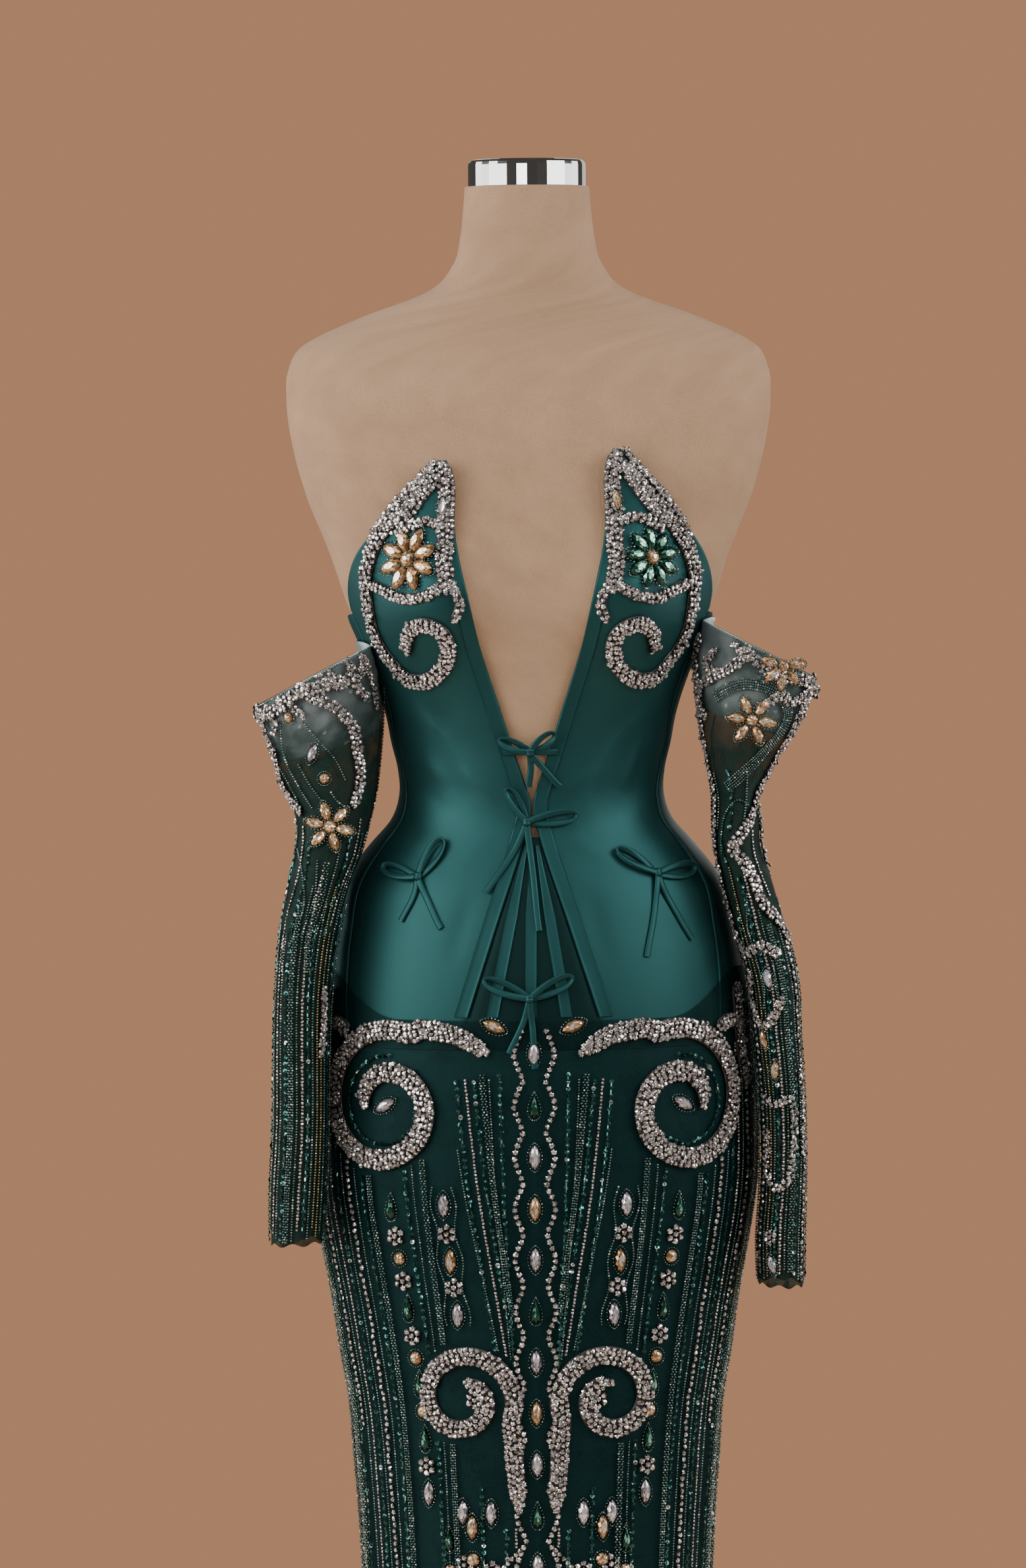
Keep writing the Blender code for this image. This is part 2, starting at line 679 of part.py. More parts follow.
def bow(name, place, loops, tails, base, tie=0.0):
    """loops are (direction in degrees, length, spread in degrees), tails are (across, up) of their ends."""
    arc0, z0 = place[0] * MM, place[1] * MM
    low = base + TUBE_THICK / 2
    high = low + 1.7 * TUBE_THICK
    middle = base + KNOT_THICK + 0.2 * MM
    knot = layer(turn_of_arc(np.array([arc0]), np.array([z0])), np.array([z0]), middle)[0]
    mesh = bpy.data.meshes.new(name)
    ball = bmesh.new()
    bmesh.ops.create_uvsphere(ball, u_segments=6, v_segments=5, radius=1)
    ball.to_mesh(mesh)
    ball.free()
    mesh.transform(Matrix.Translation(knot) @ Matrix.Diagonal((KNOT, KNOT_THICK, KNOT, 1)))
    pieces = [add(f"{name}_knot", mesh, "satin")]
    for number, (direction, length, spread) in enumerate(loops):
        t = np.linspace(0.012, 0.988, 9)
        angle = np.radians(direction + spread * (t - 0.5))
        reach = length * MM * np.sin(math.pi * t) ** 0.85
        arc, z = arc0 + reach * np.cos(angle), z0 + reach * np.sin(angle)
        out = low + (high - low) * ease(0.3, 1.0, t) + 1.5 * MM * np.sin(math.pi * t)
        pieces.append(strand(f"{name}_loop_{number}", arc, z, out))
    for number, (across, up) in enumerate(tails):
        t = np.linspace(0.02, 1, 5)
        arc = arc0 + across * MM * t**1.25
        z = z0 + up * MM * t
        out = middle + (low - middle) * ease(0, 0.4, t)
        pieces.append(strand(f"{name}_tail_{number}", arc, z, out))
    if tie:
        t = np.linspace(-1, 1, 3)
        pieces.append(strand(f"{name}_tie", arc0 + tie * MM * t, np.full(3, z0), np.full(3, low)))
    return joined(name, pieces, "satin")


def bows():
    on_satin = SATIN_FACE + TRIM_GAP
    on_band = on_satin + RIBBON + TRIM_GAP
    bow("bow_upper", (-1, 1105), [(151, 25, 38), (38, 25, 50)], [(0, -26), (24, -26)], on_band, tie=21)
    bow("bow_middle", (-4, 1048), [(122, 34, 30), (8, 38, 34)], [(-31, -56), (10, -86)], on_band)
    bow("bow_lower", (-3, 909), [(158, 37, 34), (26, 36, 36)], [(-15, -43), (5, -55)], on_band + OVERLAY_STAND_OFF)
    bow("bow_hip_left", (-92, 1003), [(172, 36, 32), (48, 39, 32)], [(-15, -34), (20, -39)], on_satin)
    bow("bow_hip_right", (102, 1004), [(150, 40, 30), (2, 38, 32)], [(-9, -64), (34, -52)], on_satin)


# Sleeves
def sleeve_point(table, angle, z, inset):
    """Points round a sleeve at the middle heights z, kept clear of the body and then set in. Angle 0 is +X."""
    x0, y0, half_width, half_depth = (between(table, c, z) * MM for c in table["columns"][1:5])
    x = x0 + (half_width - inset) * np.cos(angle)
    y = y0 + (half_depth - inset) * np.sin(angle)
    height = z + between(table, "rise", z) * (x - x0)
    covered = np.where(height > OVERLAY_TOP + OVERLAY_SIDE_RISE + 10 * MM, SATIN_FACE, OVERLAY_FACE)
    half_w, centre_y, half_d, _ = section(height)
    turn = np.arctan2(x / half_w, -(y - centre_y) / half_d)
    near = layer(turn, height, covered + SLEEVE_CLEAR + inset)
    grow = np.maximum(np.hypot(near[..., 0], near[..., 1] - centre_y) / np.hypot(x, y - centre_y), 1)
    return np.stack([x * grow, centre_y + (y - centre_y) * grow, height], axis=-1)


def sleeve_layer(name, table, angle, z, outside, inside, finish, closed):
    angle, z = np.meshgrid(angle, z)
    inner, outer = sleeve_point(table, angle, z, inside), sleeve_point(table, angle, z, outside)
    wall(name, inner, outer, finish, closed)


def sleeve(table, side, word):
    """The tube, the facing inside its mouth, and the collar of crystals round the mouth's outer side."""
    foot, mouth = (table["rows"][end][0] * MM for end in (0, -1))
    near_mouth = mouth - np.array([FACING_DEEP, 1.5 * COLLAR_DEEP, COLLAR_DEEP, COLLAR_DEEP / 2, 0])
    rows = np.concatenate([np.linspace(foot, near_mouth[0], SLEEVE_ROWS)[:-1], near_mouth])
    ring = np.linspace(0, 2 * math.pi, SLEEVE_SIDES + 1)[:-1]
    sleeve_layer(f"sleeve_{word}", table, ring, rows, 0, SLEEVE, "tulle", True)
    inside = SLEEVE + TRIM_GAP
    sleeve_layer(f"sleeve_facing_{word}", table, ring, near_mouth, inside, inside + FACING, "organza", True)

    away = 0 if side > 0 else math.pi
    half_arc = COLLAR_SIDES * math.pi / SLEEVE_SIDES
    arc = away + half_arc * np.linspace(-1, 1, COLLAR_SIDES + 1)
    angle, z = np.meshgrid(arc, near_mouth[2:])
    crown = TRIM_GAP + np.array([COLLAR_THICK / 3, COLLAR_THICK, COLLAR_THICK / 2])[:, None]
    inner, outer = sleeve_point(table, angle, z, -TRIM_GAP), sleeve_point(table, angle, z, -crown)
    wall(f"sleeve_collar_{word}", inner, outer, "crystal")


# Bead flowers
def flower(name, point, finish):
    """Eight petals round a boss. point(across, up, out) gives a place near the flower's middle."""
    spokes = np.arange(16)
    angle = spokes * math.pi / 8
    petal = np.where(spokes % 2 == 0, 1.0, 0.62)
    reach = FLOWER_RADIUS * np.array([0.22, 0.6, 1.0])[:, None] * np.array([petal * 0 + 1, petal, petal])
    across, up = reach * np.cos(angle), reach * np.sin(angle)
    height = np.array([0.9, 0.7, 0.3])[:, None] * FLOWER_TALL * np.where(spokes % 2 == 0, 1.0, 0.6)
    height[0] = FLOWER_TALL
    grid = np.stack([point(across, up, 0 * height), point(across, up, height)])
    flat = grid.reshape(-1, 3)
    index = np.arange(96).reshape(2, 3, 16)
    index = np.concatenate([index, index[..., :1]], axis=2)
    faces = [facets(index[0])[:, ::-1], facets(index[1])]
    faces.append(facets(np.stack([index[0, -1], index[1, -1]])))
    faces = [tuple(f) for f in np.concatenate(faces)]
    faces += [tuple(index[0, 0, :-1]), tuple(index[1, 0, :-1][::-1])]
    return solid(name, flat, faces, finish)


def flowers():
    for side, word, place, finish in CUP_FLOWERS:
        def on_cup(across, up, out, side=side, place=place):
            z = place[1] * MM + up
            turn = turn_of_arc(side * place[0] * MM + across, z)
            return layer(turn, z, SATIN_FACE + CUP_SCROLL_GAP + out)

        flower(f"cup_flower_{word}", on_cup, finish)
    for table, word, degrees, height, gap in SLEEVE_FLOWERS:
        def on_sleeve(across, up, out, table=table, degrees=degrees, height=height, gap=gap):
            round_it = between(table, "half_width", height * MM) * MM
            angle = math.radians(degrees) + across / round_it
            return sleeve_point(table, angle, height * MM + up, -(gap * MM + out))

        flower(f"sleeve_flower_{word}", on_sleeve, "champagne")


# Zip slider and pull tab at the top of the centre back
def box(name, low, high):
    mesh = bpy.data.meshes.new(name)
    cube = bmesh.new()
    bmesh.ops.create_cube(cube, size=1)
    cube.to_mesh(mesh)
    cube.free()
    size = [(b - a) for a, b in zip(low, high, strict=True)]
    middle = [(a + b) / 2 for a, b in zip(low, high, strict=True)]
    mesh.transform(Matrix.Translation(middle) @ Matrix.Diagonal((*size, 1)))
    return add(name, mesh, "zip_metal", smooth=False)


def rod(name, radius, length, centre, sides=16):
    """A cylinder along X."""
    mesh = bpy.data.meshes.new(name)
    made = bmesh.new()
    bmesh.ops.create_cone(made, cap_ends=True, segments=sides, radius1=radius, radius2=radius, depth=length)
    made.to_mesh(mesh)
    made.free()
    mesh.transform(Matrix.Translation(centre) @ Matrix.Rotation(math.pi / 2, 4, "Y"))
    return add(name, mesh, "zip_metal", smooth=False)


def zip_parts():
    back = layer(math.pi, ZIP_Z, SATIN_FACE)
    normal = outward(np.array(math.pi), np.array(ZIP_Z))
    lean = math.atan2(normal[2], normal[1])
    place = Matrix.Translation(back) @ Matrix.Rotation(lean, 4, "X")
    wide, thick, tall = (SLIDER[k] for k in ("wide", "thick", "tall"))
    face = TRIM_GAP + thick
    pin = (0, face + PIN_OUT, EAR["tall"] / 2)
    ear_in = KNUCKLE_WIDE / 2 + SEAM
    pieces = [box("slider_plate", (-wide / 2, TRIM_GAP, -tall / 2), (wide / 2, face, tall / 2))]
    for s in (-1, 1):
        ends = sorted([s * ear_in, s * (ear_in + EAR["thick"])])
        low, high = (ends[0], face - thick / 2, 0), (ends[1], face + EAR["reach"], EAR["tall"])
        pieces.append(box("slider_ear", low, high))
    pieces.append(rod("slider_pin", PIN_RADIUS, 2 * ear_in + EAR["thick"], pin))
    slider = joined("zip_slider", pieces, "zip_metal")
    slider.data.transform(place)

    hinge = place @ Vector(pin)
    neck = box("tab_neck", (-KNUCKLE_WIDE / 2 + 0.1 * MM, -TAB["thick"] / 2, -TAB["neck"] - 1 * MM),
               (KNUCKLE_WIDE / 2 - 0.1 * MM, TAB["thick"] / 2, -KNUCKLE_HOLE - 0.3 * MM))
    blade = box("tab_blade", (-TAB["wide"] / 2, -TAB["thick"] / 2, -TAB["long"]),
                (TAB["wide"] / 2, TAB["thick"] / 2, -TAB["neck"]))
    knuckle = rod("tab_knuckle", KNUCKLE_RADIUS, KNUCKLE_WIDE, (0, 0, 0))
    hole = rod("tab_hole", KNUCKLE_HOLE, 2 * KNUCKLE_WIDE, (0, 0, 0))
    tab = joined("zip_pull_tab", [knuckle, neck, blade], "zip_metal", hole)
    tab.location = hinge


def main():
    form_torso()
    form_metal()
    for side, word in ((-1, "left"), (1, "right")):
        bodice(side, word)
        edge_band(side, word)
        scrolls(side, word)
    gusset()
    fan_ribbons()
    skirt()
    bows()
    sleeve(SLEEVE_LEFT, -1, "left")
    sleeve(SLEEVE_RIGHT, 1, "right")
    flowers()
    zip_parts()


main()
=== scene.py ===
# Column evening dress on a dress form: cloth, beadwork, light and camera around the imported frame.
# Left and right are as seen from the front, lengths in the tables are in millimetres.
import math

import bpy
import numpy as np
from mathutils import Matrix


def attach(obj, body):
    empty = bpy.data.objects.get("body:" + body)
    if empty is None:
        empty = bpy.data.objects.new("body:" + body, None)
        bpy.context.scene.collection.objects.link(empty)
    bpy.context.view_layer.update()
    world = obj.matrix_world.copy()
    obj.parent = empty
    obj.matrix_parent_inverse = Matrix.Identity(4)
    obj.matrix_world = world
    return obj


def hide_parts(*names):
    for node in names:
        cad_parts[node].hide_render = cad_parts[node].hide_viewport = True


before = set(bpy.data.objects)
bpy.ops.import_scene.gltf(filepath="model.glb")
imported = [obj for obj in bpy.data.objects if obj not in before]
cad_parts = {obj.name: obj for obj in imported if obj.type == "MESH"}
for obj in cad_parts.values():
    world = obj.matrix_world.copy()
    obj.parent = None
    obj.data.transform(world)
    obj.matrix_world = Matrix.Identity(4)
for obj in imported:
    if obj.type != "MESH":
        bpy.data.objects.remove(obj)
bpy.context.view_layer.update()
mm = 0.001
chance = np.random.default_rng(11)
mainBody = "dress_on_form"


def unit(v):
    # Each vector divided by its length.
    return v / np.maximum(np.linalg.norm(v, axis=-1, keepdims=True), 1e-12)


# Camera and light

# Angles in degrees, the lens in millimetres
cameraSettings = {"place": (-0.0149, -6.0, 1.34), "pitchDown": 2.527, "roll": -0.45, "lens": 113.72}
# Softboxes: degrees from the front to the right, distance, height and size in metres, power, colour
lightSettings = {
    "leftBox": (-61, 2.7, 1.75, (2.1, 2.2), 67, (1, 0.97, 0.93)),
    "rightBox": (60, 2.7, 2.20, (1.5, 1.8), 46, (1, 0.97, 0.94)),
    "overhead": (10, 0.9, 3.2, (1.6, 1.6), 16, (1, 0.98, 0.95)),
    "glintLeft": (-30, 2.6, 2.3, (0.16, 0.16), 7, (1, 0.98, 0.96)),
    "glintRight": (24, 2.6, 1.9, (0.16, 0.16), 5, (1, 0.98, 0.96)),
    "frontGlint": (-9, 3.2, 1.75, (0.6, 0.6), 8, (1, 0.98, 0.96)),
    "sideLeft": (-104, 2.7, 1.6, (1.5, 2.0), 34, (1, 0.97, 0.93)),
    "sideRight": (104, 2.7, 1.6, (1.5, 2.0), 30, (1, 0.97, 0.94)),
    "backFill": (165, 3.2, 1.9, (2.4, 2.0), 12, (1, 0.96, 0.92)),
}
lightAim = 1.05
roomSettings = {
    "seen": (0.445, 0.226, 0.125), "glow": (0.52, 0.47, 0.43), "strength": 0.16,
    "floor": (0.62, 0.50, 0.41),
}


def placeCamera():
    # The camera looks along +Y, tipped down and rolled about its own axis.
    made = bpy.data.cameras.new("viewCamera")
    made.sensor_fit = "VERTICAL"
    made.sensor_height = 24
    made.lens = cameraSettings["lens"]
    camera = bpy.data.objects.new("viewCamera", made)
    bpy.context.scene.collection.objects.link(camera)
    tilt = math.radians(90 - cameraSettings["pitchDown"])
    roll = math.radians(cameraSettings["roll"])
    ct, st, cr, sr = math.cos(tilt), math.sin(tilt), math.cos(roll), math.sin(roll)
    aboutX = np.array([[1, 0, 0], [0, ct, -st], [0, st, ct]])
    aboutOwn = np.array([[cr, -sr, 0], [sr, cr, 0], [0, 0, 1]])
    whole = np.eye(4)
    whole[:3, :3] = aboutX @ aboutOwn
    whole[:3, 3] = cameraSettings["place"]
    camera.matrix_world = Matrix(whole.tolist())
    bpy.context.scene.camera = camera


def placeLights():
    # Each softbox stands on a circle about the dress and faces its middle.
    for name, (azimuth, distance, height, size, power, colour) in lightSettings.items():
        made = bpy.data.lights.new(name, "AREA")
        made.shape = "RECTANGLE"
        made.size, made.size_y = size
        made.energy, made.color = power, colour
        lamp = bpy.data.objects.new(name, made)
        bpy.context.scene.collection.objects.link(lamp)
        azimuth = math.radians(azimuth)
        at = np.array([distance * math.sin(azimuth), -distance * math.cos(azimuth), height])
        back = unit(at - np.array([0, 0, lightAim]))
        right = unit(np.cross([0, 0, 1.0], back))
        whole = np.eye(4)
        whole[:3, :4] = np.stack([right, np.cross(back, right), back, at], -1)
        lamp.matrix_world = Matrix(whole.tolist())


def makeWorld():
    # A soft glow lights the dress, while the camera sees a plain tone.
    world = bpy.data.worlds.new("studio")
    bpy.context.scene.world = world
    world.use_nodes = True
    nodes, links = world.node_tree.nodes, world.node_tree.links
    nodes.clear()
    glow, seen = nodes.new("ShaderNodeBackground"), nodes.new("ShaderNodeBackground")
    glow.inputs["Color"].default_value = (*roomSettings["glow"], 1)
    glow.inputs["Strength"].default_value = roomSettings["strength"]
    seen.inputs["Color"].default_value = (*roomSettings["seen"], 1)
    path, mix = nodes.new("ShaderNodeLightPath"), nodes.new("ShaderNodeMixShader")
    out = nodes.new("ShaderNodeOutputWorld")
    links.new(path.outputs["Is Camera Ray"], mix.inputs[0])
    links.new(glow.outputs[0], mix.inputs[1])
    links.new(seen.outputs[0], mix.inputs[2])
    links.new(mix.outputs[0], out.inputs["Surface"])


placeCamera()
placeLights()
makeWorld()
print("camera and lights placed")

# Tables shared with the part's source

bodyTable = {
    "columns": ("z", "halfWidth", "centreY", "halfDepth", "squareness"),
    "rows": (
        (30, 132, 0, 108, 2.0), (200, 129, 0, 105, 2.0), (350, 130, 0, 104, 2.0), (449, 134, 0, 105, 2.0),
        (491, 136.5, 0, 106, 2.0), (534, 140, 0, 107, 2.0), (577, 143.5, 0, 108, 2.0),
        (620, 151, 1, 110, 2.0),
        (665, 158, 2, 113, 2.0), (700, 165, 4, 116, 2.0), (755, 174, 6, 120, 2.0), (820, 175, 9, 124, 2.0),
        (884, 172, 12, 125, 2.0), (925, 168, 13, 122, 2.0), (959, 161, 12, 116, 2.0),
        (1000, 148, 9, 104, 2.0),
        (1025, 129, 6, 93, 2.0), (1046, 111, 3, 86, 2.0), (1067, 104, 1, 83, 2.0),
        (1089, 105, 0, 83.5, 2.0),
        (1110, 110, 0, 85, 2.0), (1131, 114, 0, 88, 2.05), (1175, 129, 1, 94, 2.1),
        (1217, 147, 2, 99, 2.15),
        (1260, 161.5, 3, 101, 2.3), (1302, 177.4, 4, 101, 2.45), (1345, 189.7, 5, 98, 2.5),
        (1388, 195.3, 6, 91, 2.45),
        (1409, 194, 6, 84, 2.3), (1430, 182, 5, 76, 2.1), (1452, 136, 2, 68, 2.0), (1473, 80, -4, 62, 2.0),
        (1494, 60, -9, 57, 2.0), (1516, 54, -13, 53, 2.0), (1537, 51.5, -15, 51, 2.0),
        (1556, 50, -16, 50, 2.0),
    ),
}
innerEdge = {
    "columns": ("z", "x"),
    "rows": (
        (868, 60), (968, 28), (1039, 5), (1053, 1.4), (1065, 1.6), (1076, 4.5), (1096, 11), (1123, 19.5),
        (1141, 25),
        (1171, 35), (1193, 42), (1225, 50), (1252, 56), (1282, 60), (1305, 60.5), (1328, 61), (1345, 65),
    ),
}
cupEdge = {
    "columns": ("z", "x"),
    "rows": ((1215, 141.5), (1232, 144.5), (1260, 139), (1284, 124), (1316, 98), (1336, 80), (1345, 71)),
}
sideSeam = {
    "columns": ("z", "share"),
    "rows": ((868, 0.85), (977, 0.90), (1047, 0.93), (1100, 0.965), (1170, 0.95), (1215, 0.962)),
}
sleeveLeft = {
    "columns": ("z", "x", "y", "halfWidth", "halfDepth", "rise"),
    "rows": (
        (712, -190.8, -66, 21, 29, 0.05), (753, -189.4, -66, 22, 30, 0.0),
        (805, -187.4, -66, 21.6, 31, 0.0),
        (858, -186.3, -65, 21.6, 32, 0.0), (910, -184.0, -64, 22, 33, 0.0),
        (963, -178.0, -58, 23.4, 35, 0.0),
        (1000, -170.5, -52, 25, 37, 0.0), (1025, -163.0, -46, 27.6, 39, 0.0),
        (1046, -159.0, -40, 29.6, 41, 0.05),
        (1067, -159.0, -34, 34.8, 43, 0.12), (1089, -160.8, -30, 40, 45, 0.22),
        (1112, -163.0, -27, 44.5, 47, 0.32),
        (1142, -166.6, -25, 48.5, 49, 0.44), (1168, -169.0, -24, 49.5, 50, 0.52),
    ),
}
sleeveRight = {
    "columns": ("z", "x", "y", "halfWidth", "halfDepth", "rise"),
    "rows": (
        (672, 198.0, -30, 18, 32, -0.05), (708, 198.0, -30, 18.6, 33, 0.0),
        (750, 199.8, -30, 17.8, 34, 0.0),
        (792, 200.0, -30, 17.8, 35, 0.0), (833, 198.6, -31, 18.2, 36, 0.0),
        (875, 195.5, -32, 18.8, 37, 0.0),
        (918, 192.5, -33, 20, 38, 0.0), (961, 182.0, -33, 20.8, 39, 0.0), (1003, 171.0, -33, 20.2, 41, 0.0),
        (1025, 165.0, -32, 19, 42, 0.0), (1046, 163.4, -31, 18.6, 43, 0.0),
        (1067, 163.4, -30, 18.8, 44, -0.05),
        (1089, 165.0, -28, 25, 45, -0.15), (1110, 167.5, -26, 32, 47, -0.28),
        (1131, 172.0, -24, 40.5, 49, -0.38),
        (1160, 177.0, -23, 47, 51, -0.48), (1186, 180.0, -22, 48, 52, -0.52),
    ),
}
layers = {
    "satinBack": 1.3 * mm, "satinFace": 3.0 * mm,
    "overlayBack": 3.5 * mm, "overlayFace": 4.3 * mm, "overlayStandOff": 1.0 * mm,
}
heights = {
    "hem": 0.030, "slitTop": 0.450, "formFoot": 0.720, "hipSeam": 0.868,
    "backTop": 1.192, "sideTop": 1.215, "tip": 1.345,
}
bust = {"out": 25 * mm, "x": 78 * mm, "z": 1.226, "wide": 44 * mm, "tall": 50 * mm}
seat = {"out": 12 * mm, "x": 72 * mm, "z": 0.890, "wide": 60 * mm, "tall": 85 * mm}
cupLift = {"out": 7 * mm, "from": 1.255}
sleeveRoom = {"overlayBelow": 0.9377, "gap": 1.6 * mm}
seam = 0.3 * mm
backPanelTurn = math.radians(122)


def between(table, column, z):
    # Cubic spans through the rows, with each row's slope taken from the rows beside it.
    rows = np.array(table["rows"], float)
    at, values = rows[:, 0] * mm, rows[:, table["columns"].index(column)]
    slopes = np.gradient(values, at)
    z = np.clip(z, at[0], at[-1])
    i = np.clip(np.searchsorted(at, z) - 1, 0, len(at) - 2)
    step = at[i + 1] - at[i]
    t = (z - at[i]) / step
    start = (2 * t**3 - 3 * t**2 + 1) * values[i] + (t**3 - 2 * t**2 + t) * step * slopes[i]
    return start + (3 * t**2 - 2 * t**3) * values[i + 1] + (t**3 - t**2) * step * slopes[i + 1]


def ease(low, high, value):
    # 0 below low, 1 above high, and a smooth S between them.
    t = np.clip((value - low) / (high - low), 0, 1)
    return t * t * (3 - 2 * t)


def section(z):
    # The body's half width, centre, half depth and squareness at a height.
    sizes = [between(bodyTable, column, z) * mm for column in ("halfWidth", "centreY", "halfDepth")]
    return (*sizes, between(bodyTable, "squareness", z))


def swelling(shape, x, z):
    # Two rounded hills, one on each side of the centre line.
    up = ((z - shape["z"]) / shape["tall"]) ** 2
    hills = [np.exp(-(((x - side * shape["x"]) / shape["wide"]) ** 2) - up) for side in (-1, 1)]
    return shape["out"] * (hills[0] + hills[1])


def bodyPoint(turn, z):
    # Superellipse sections stacked in z, with the bust in front and the seat behind.
    # turn runs from 0 at the front to 180 degrees at the back.
    halfWidth, centreY, halfDepth, squareness = section(z)
    around = np.arctan2(halfWidth * np.sin(turn), halfDepth * np.cos(turn))
    sine, cosine = np.sin(around), np.cos(around)
    reach = (np.abs(sine) / halfWidth) ** squareness + (np.abs(cosine) / halfDepth) ** squareness
    radius = reach ** (-1 / squareness)
    x, y = radius * sine, centreY - radius * cosine
    y = y - swelling(bust, x, z) * ease(0, 0.45, cosine) + swelling(seat, x, z) * ease(0, 0.45, -cosine)
    return np.stack(np.broadcast_arrays(x, y, z), axis=-1)


def outward(turn, z):
    # Normal of the body: the cross product of its steps round and up.
    across = bodyPoint(turn + 0.01, z) - bodyPoint(turn - 0.01, z)
    return unit(np.cross(across, bodyPoint(turn, z + 2 * mm) - bodyPoint(turn, z - 2 * mm)))


def onBody(turn, z, out):
    # The body's point moved out along its normal, with the cups' own lift towards their tips.
    turn, z = np.broadcast_arrays(np.asarray(turn, float), np.asarray(z, float))
    lift = cupLift["out"] * ease(cupLift["from"], heights["tip"], z) * ease(0, 0.5, np.cos(turn))
    out = np.broadcast_to(np.asarray(out, float) + lift, turn.shape)
    return bodyPoint(turn, z) + outward(turn, z) * out[..., None]


def turnOfX(x, z):
    # The turn at which the section has that half width.
    halfWidth, _, halfDepth, squareness = section(z)
    share = np.clip(np.abs(x) / halfWidth, 0, 1)
    depth = halfDepth * (1 - share**squareness) ** (1 / squareness)
    return np.sign(x) * np.arctan2(np.abs(x) * halfDepth, depth * halfWidth)


def stepOf(turn, z, distance):
    # The step of turn that moves a point that far.
    moved = bodyPoint(turn + 0.005, z) - bodyPoint(turn - 0.005, z)
    return distance * 0.01 / np.linalg.norm(moved, axis=-1)


arcGrid = {"low": 0.02, "high": 1.36, "rows": 336, "turns": 241, "reach": 0.62, "step": 2 * mm}


def distances(points):
    # Distance along each line of points from its first point.
    steps = np.linalg.norm(np.diff(points, axis=-2), axis=-1)
    return np.concatenate([np.zeros((*steps.shape[:-1], 1)), np.cumsum(steps, axis=-1)], axis=-1)


def buildArcTable():
    # For each height, the turn at every 2 mm of distance round the body from the centre front.
    z = np.linspace(arcGrid["low"], arcGrid["high"], arcGrid["rows"])
    turns = np.linspace(0, math.pi, arcGrid["turns"])
    lengths = distances(bodyPoint(turns[None, :], z[:, None]))
    reach = np.arange(0, arcGrid["reach"], arcGrid["step"])
    below = (lengths[:, None, :] < reach[None, :, None]).sum(axis=-1).clip(1, arcGrid["turns"] - 1)
    row = np.arange(len(z))[:, None]
    low, high = lengths[row, below - 1], lengths[row, below]
    share = ((reach[None, :] - low) / np.maximum(high - low, 1e-9)).clip(0, 1)
    return turns[below - 1] + share * (turns[below] - turns[below - 1])


arcTable = buildArcTable()


def turnOfArc(arc, z):
    # Straight interpolation in the table of turns, by height and distance.
    arc, z = np.broadcast_arrays(np.asarray(arc, float), np.asarray(z, float))
    top = np.array(arcTable.shape) - 1.001
    a = np.clip(np.abs(arc) / arcGrid["step"], 0, top[1])
    share = (z - arcGrid["low"]) / (arcGrid["high"] - arcGrid["low"])
    h = np.clip(share * (arcGrid["rows"] - 1), 0, top[0])
    i, j = h.astype(int), a.astype(int)
    u, v = h - i, a - j
    low = arcTable[i, j] * (1 - v) + arcTable[i, j + 1] * v
    high = arcTable[i + 1, j] * (1 - v) + arcTable[i + 1, j + 1] * v
    return np.sign(arc) * (low * (1 - u) + high * u)


def onDress(arc, z, out):
    # A point by its distance from the centre front, its height and how far out it lies.
    return onBody(turnOfArc(arc, z), z, out)


def sleevePoint(table, angle, z, out):
    # Ellipses stacked along the arm, tipped by the rise, pushed clear of the body.
    # Angle 0 is +X and -90 degrees is the front.
    x0, y0, halfWidth, halfDepth = (between(table, c, z) * mm for c in table["columns"][1:5])
    x = x0 + (halfWidth + out) * np.cos(angle)
    y = y0 + (halfDepth + out) * np.sin(angle)
    height = z + between(table, "rise", z) * (x - x0)
    covered = np.where(height > sleeveRoom["overlayBelow"], layers["satinFace"], layers["overlayFace"])
    halfW, centreY, halfD, _ = section(height)
    turn = np.arctan2(x / halfW, -(y - centreY) / halfD)
    near = onBody(turn, height, covered + sleeveRoom["gap"] - out)
    grow = np.maximum(np.hypot(near[..., 0], near[..., 1] - centreY) / np.hypot(x, y - centreY), 1)
    return np.stack([x * grow, centreY + (y - centreY) * grow, height], axis=-1)


def onSleeve(table):
    # The sleeve's surface as a function of angle, height and distance out.
    return lambda angle, z, out: sleevePoint(table, angle, z, out)


# Making meshes

def quadsOf(rows, columns, closed=False):
    # The four corners of each cell of a grid of points.
    index = np.arange(rows * columns).reshape(rows, columns)
    if closed:
        index = np.concatenate([index, index[:, :1]], axis=1)
    return np.stack([index[:-1, :-1], index[:-1, 1:], index[1:, 1:], index[1:, :-1]], -1).reshape(-1, 4)


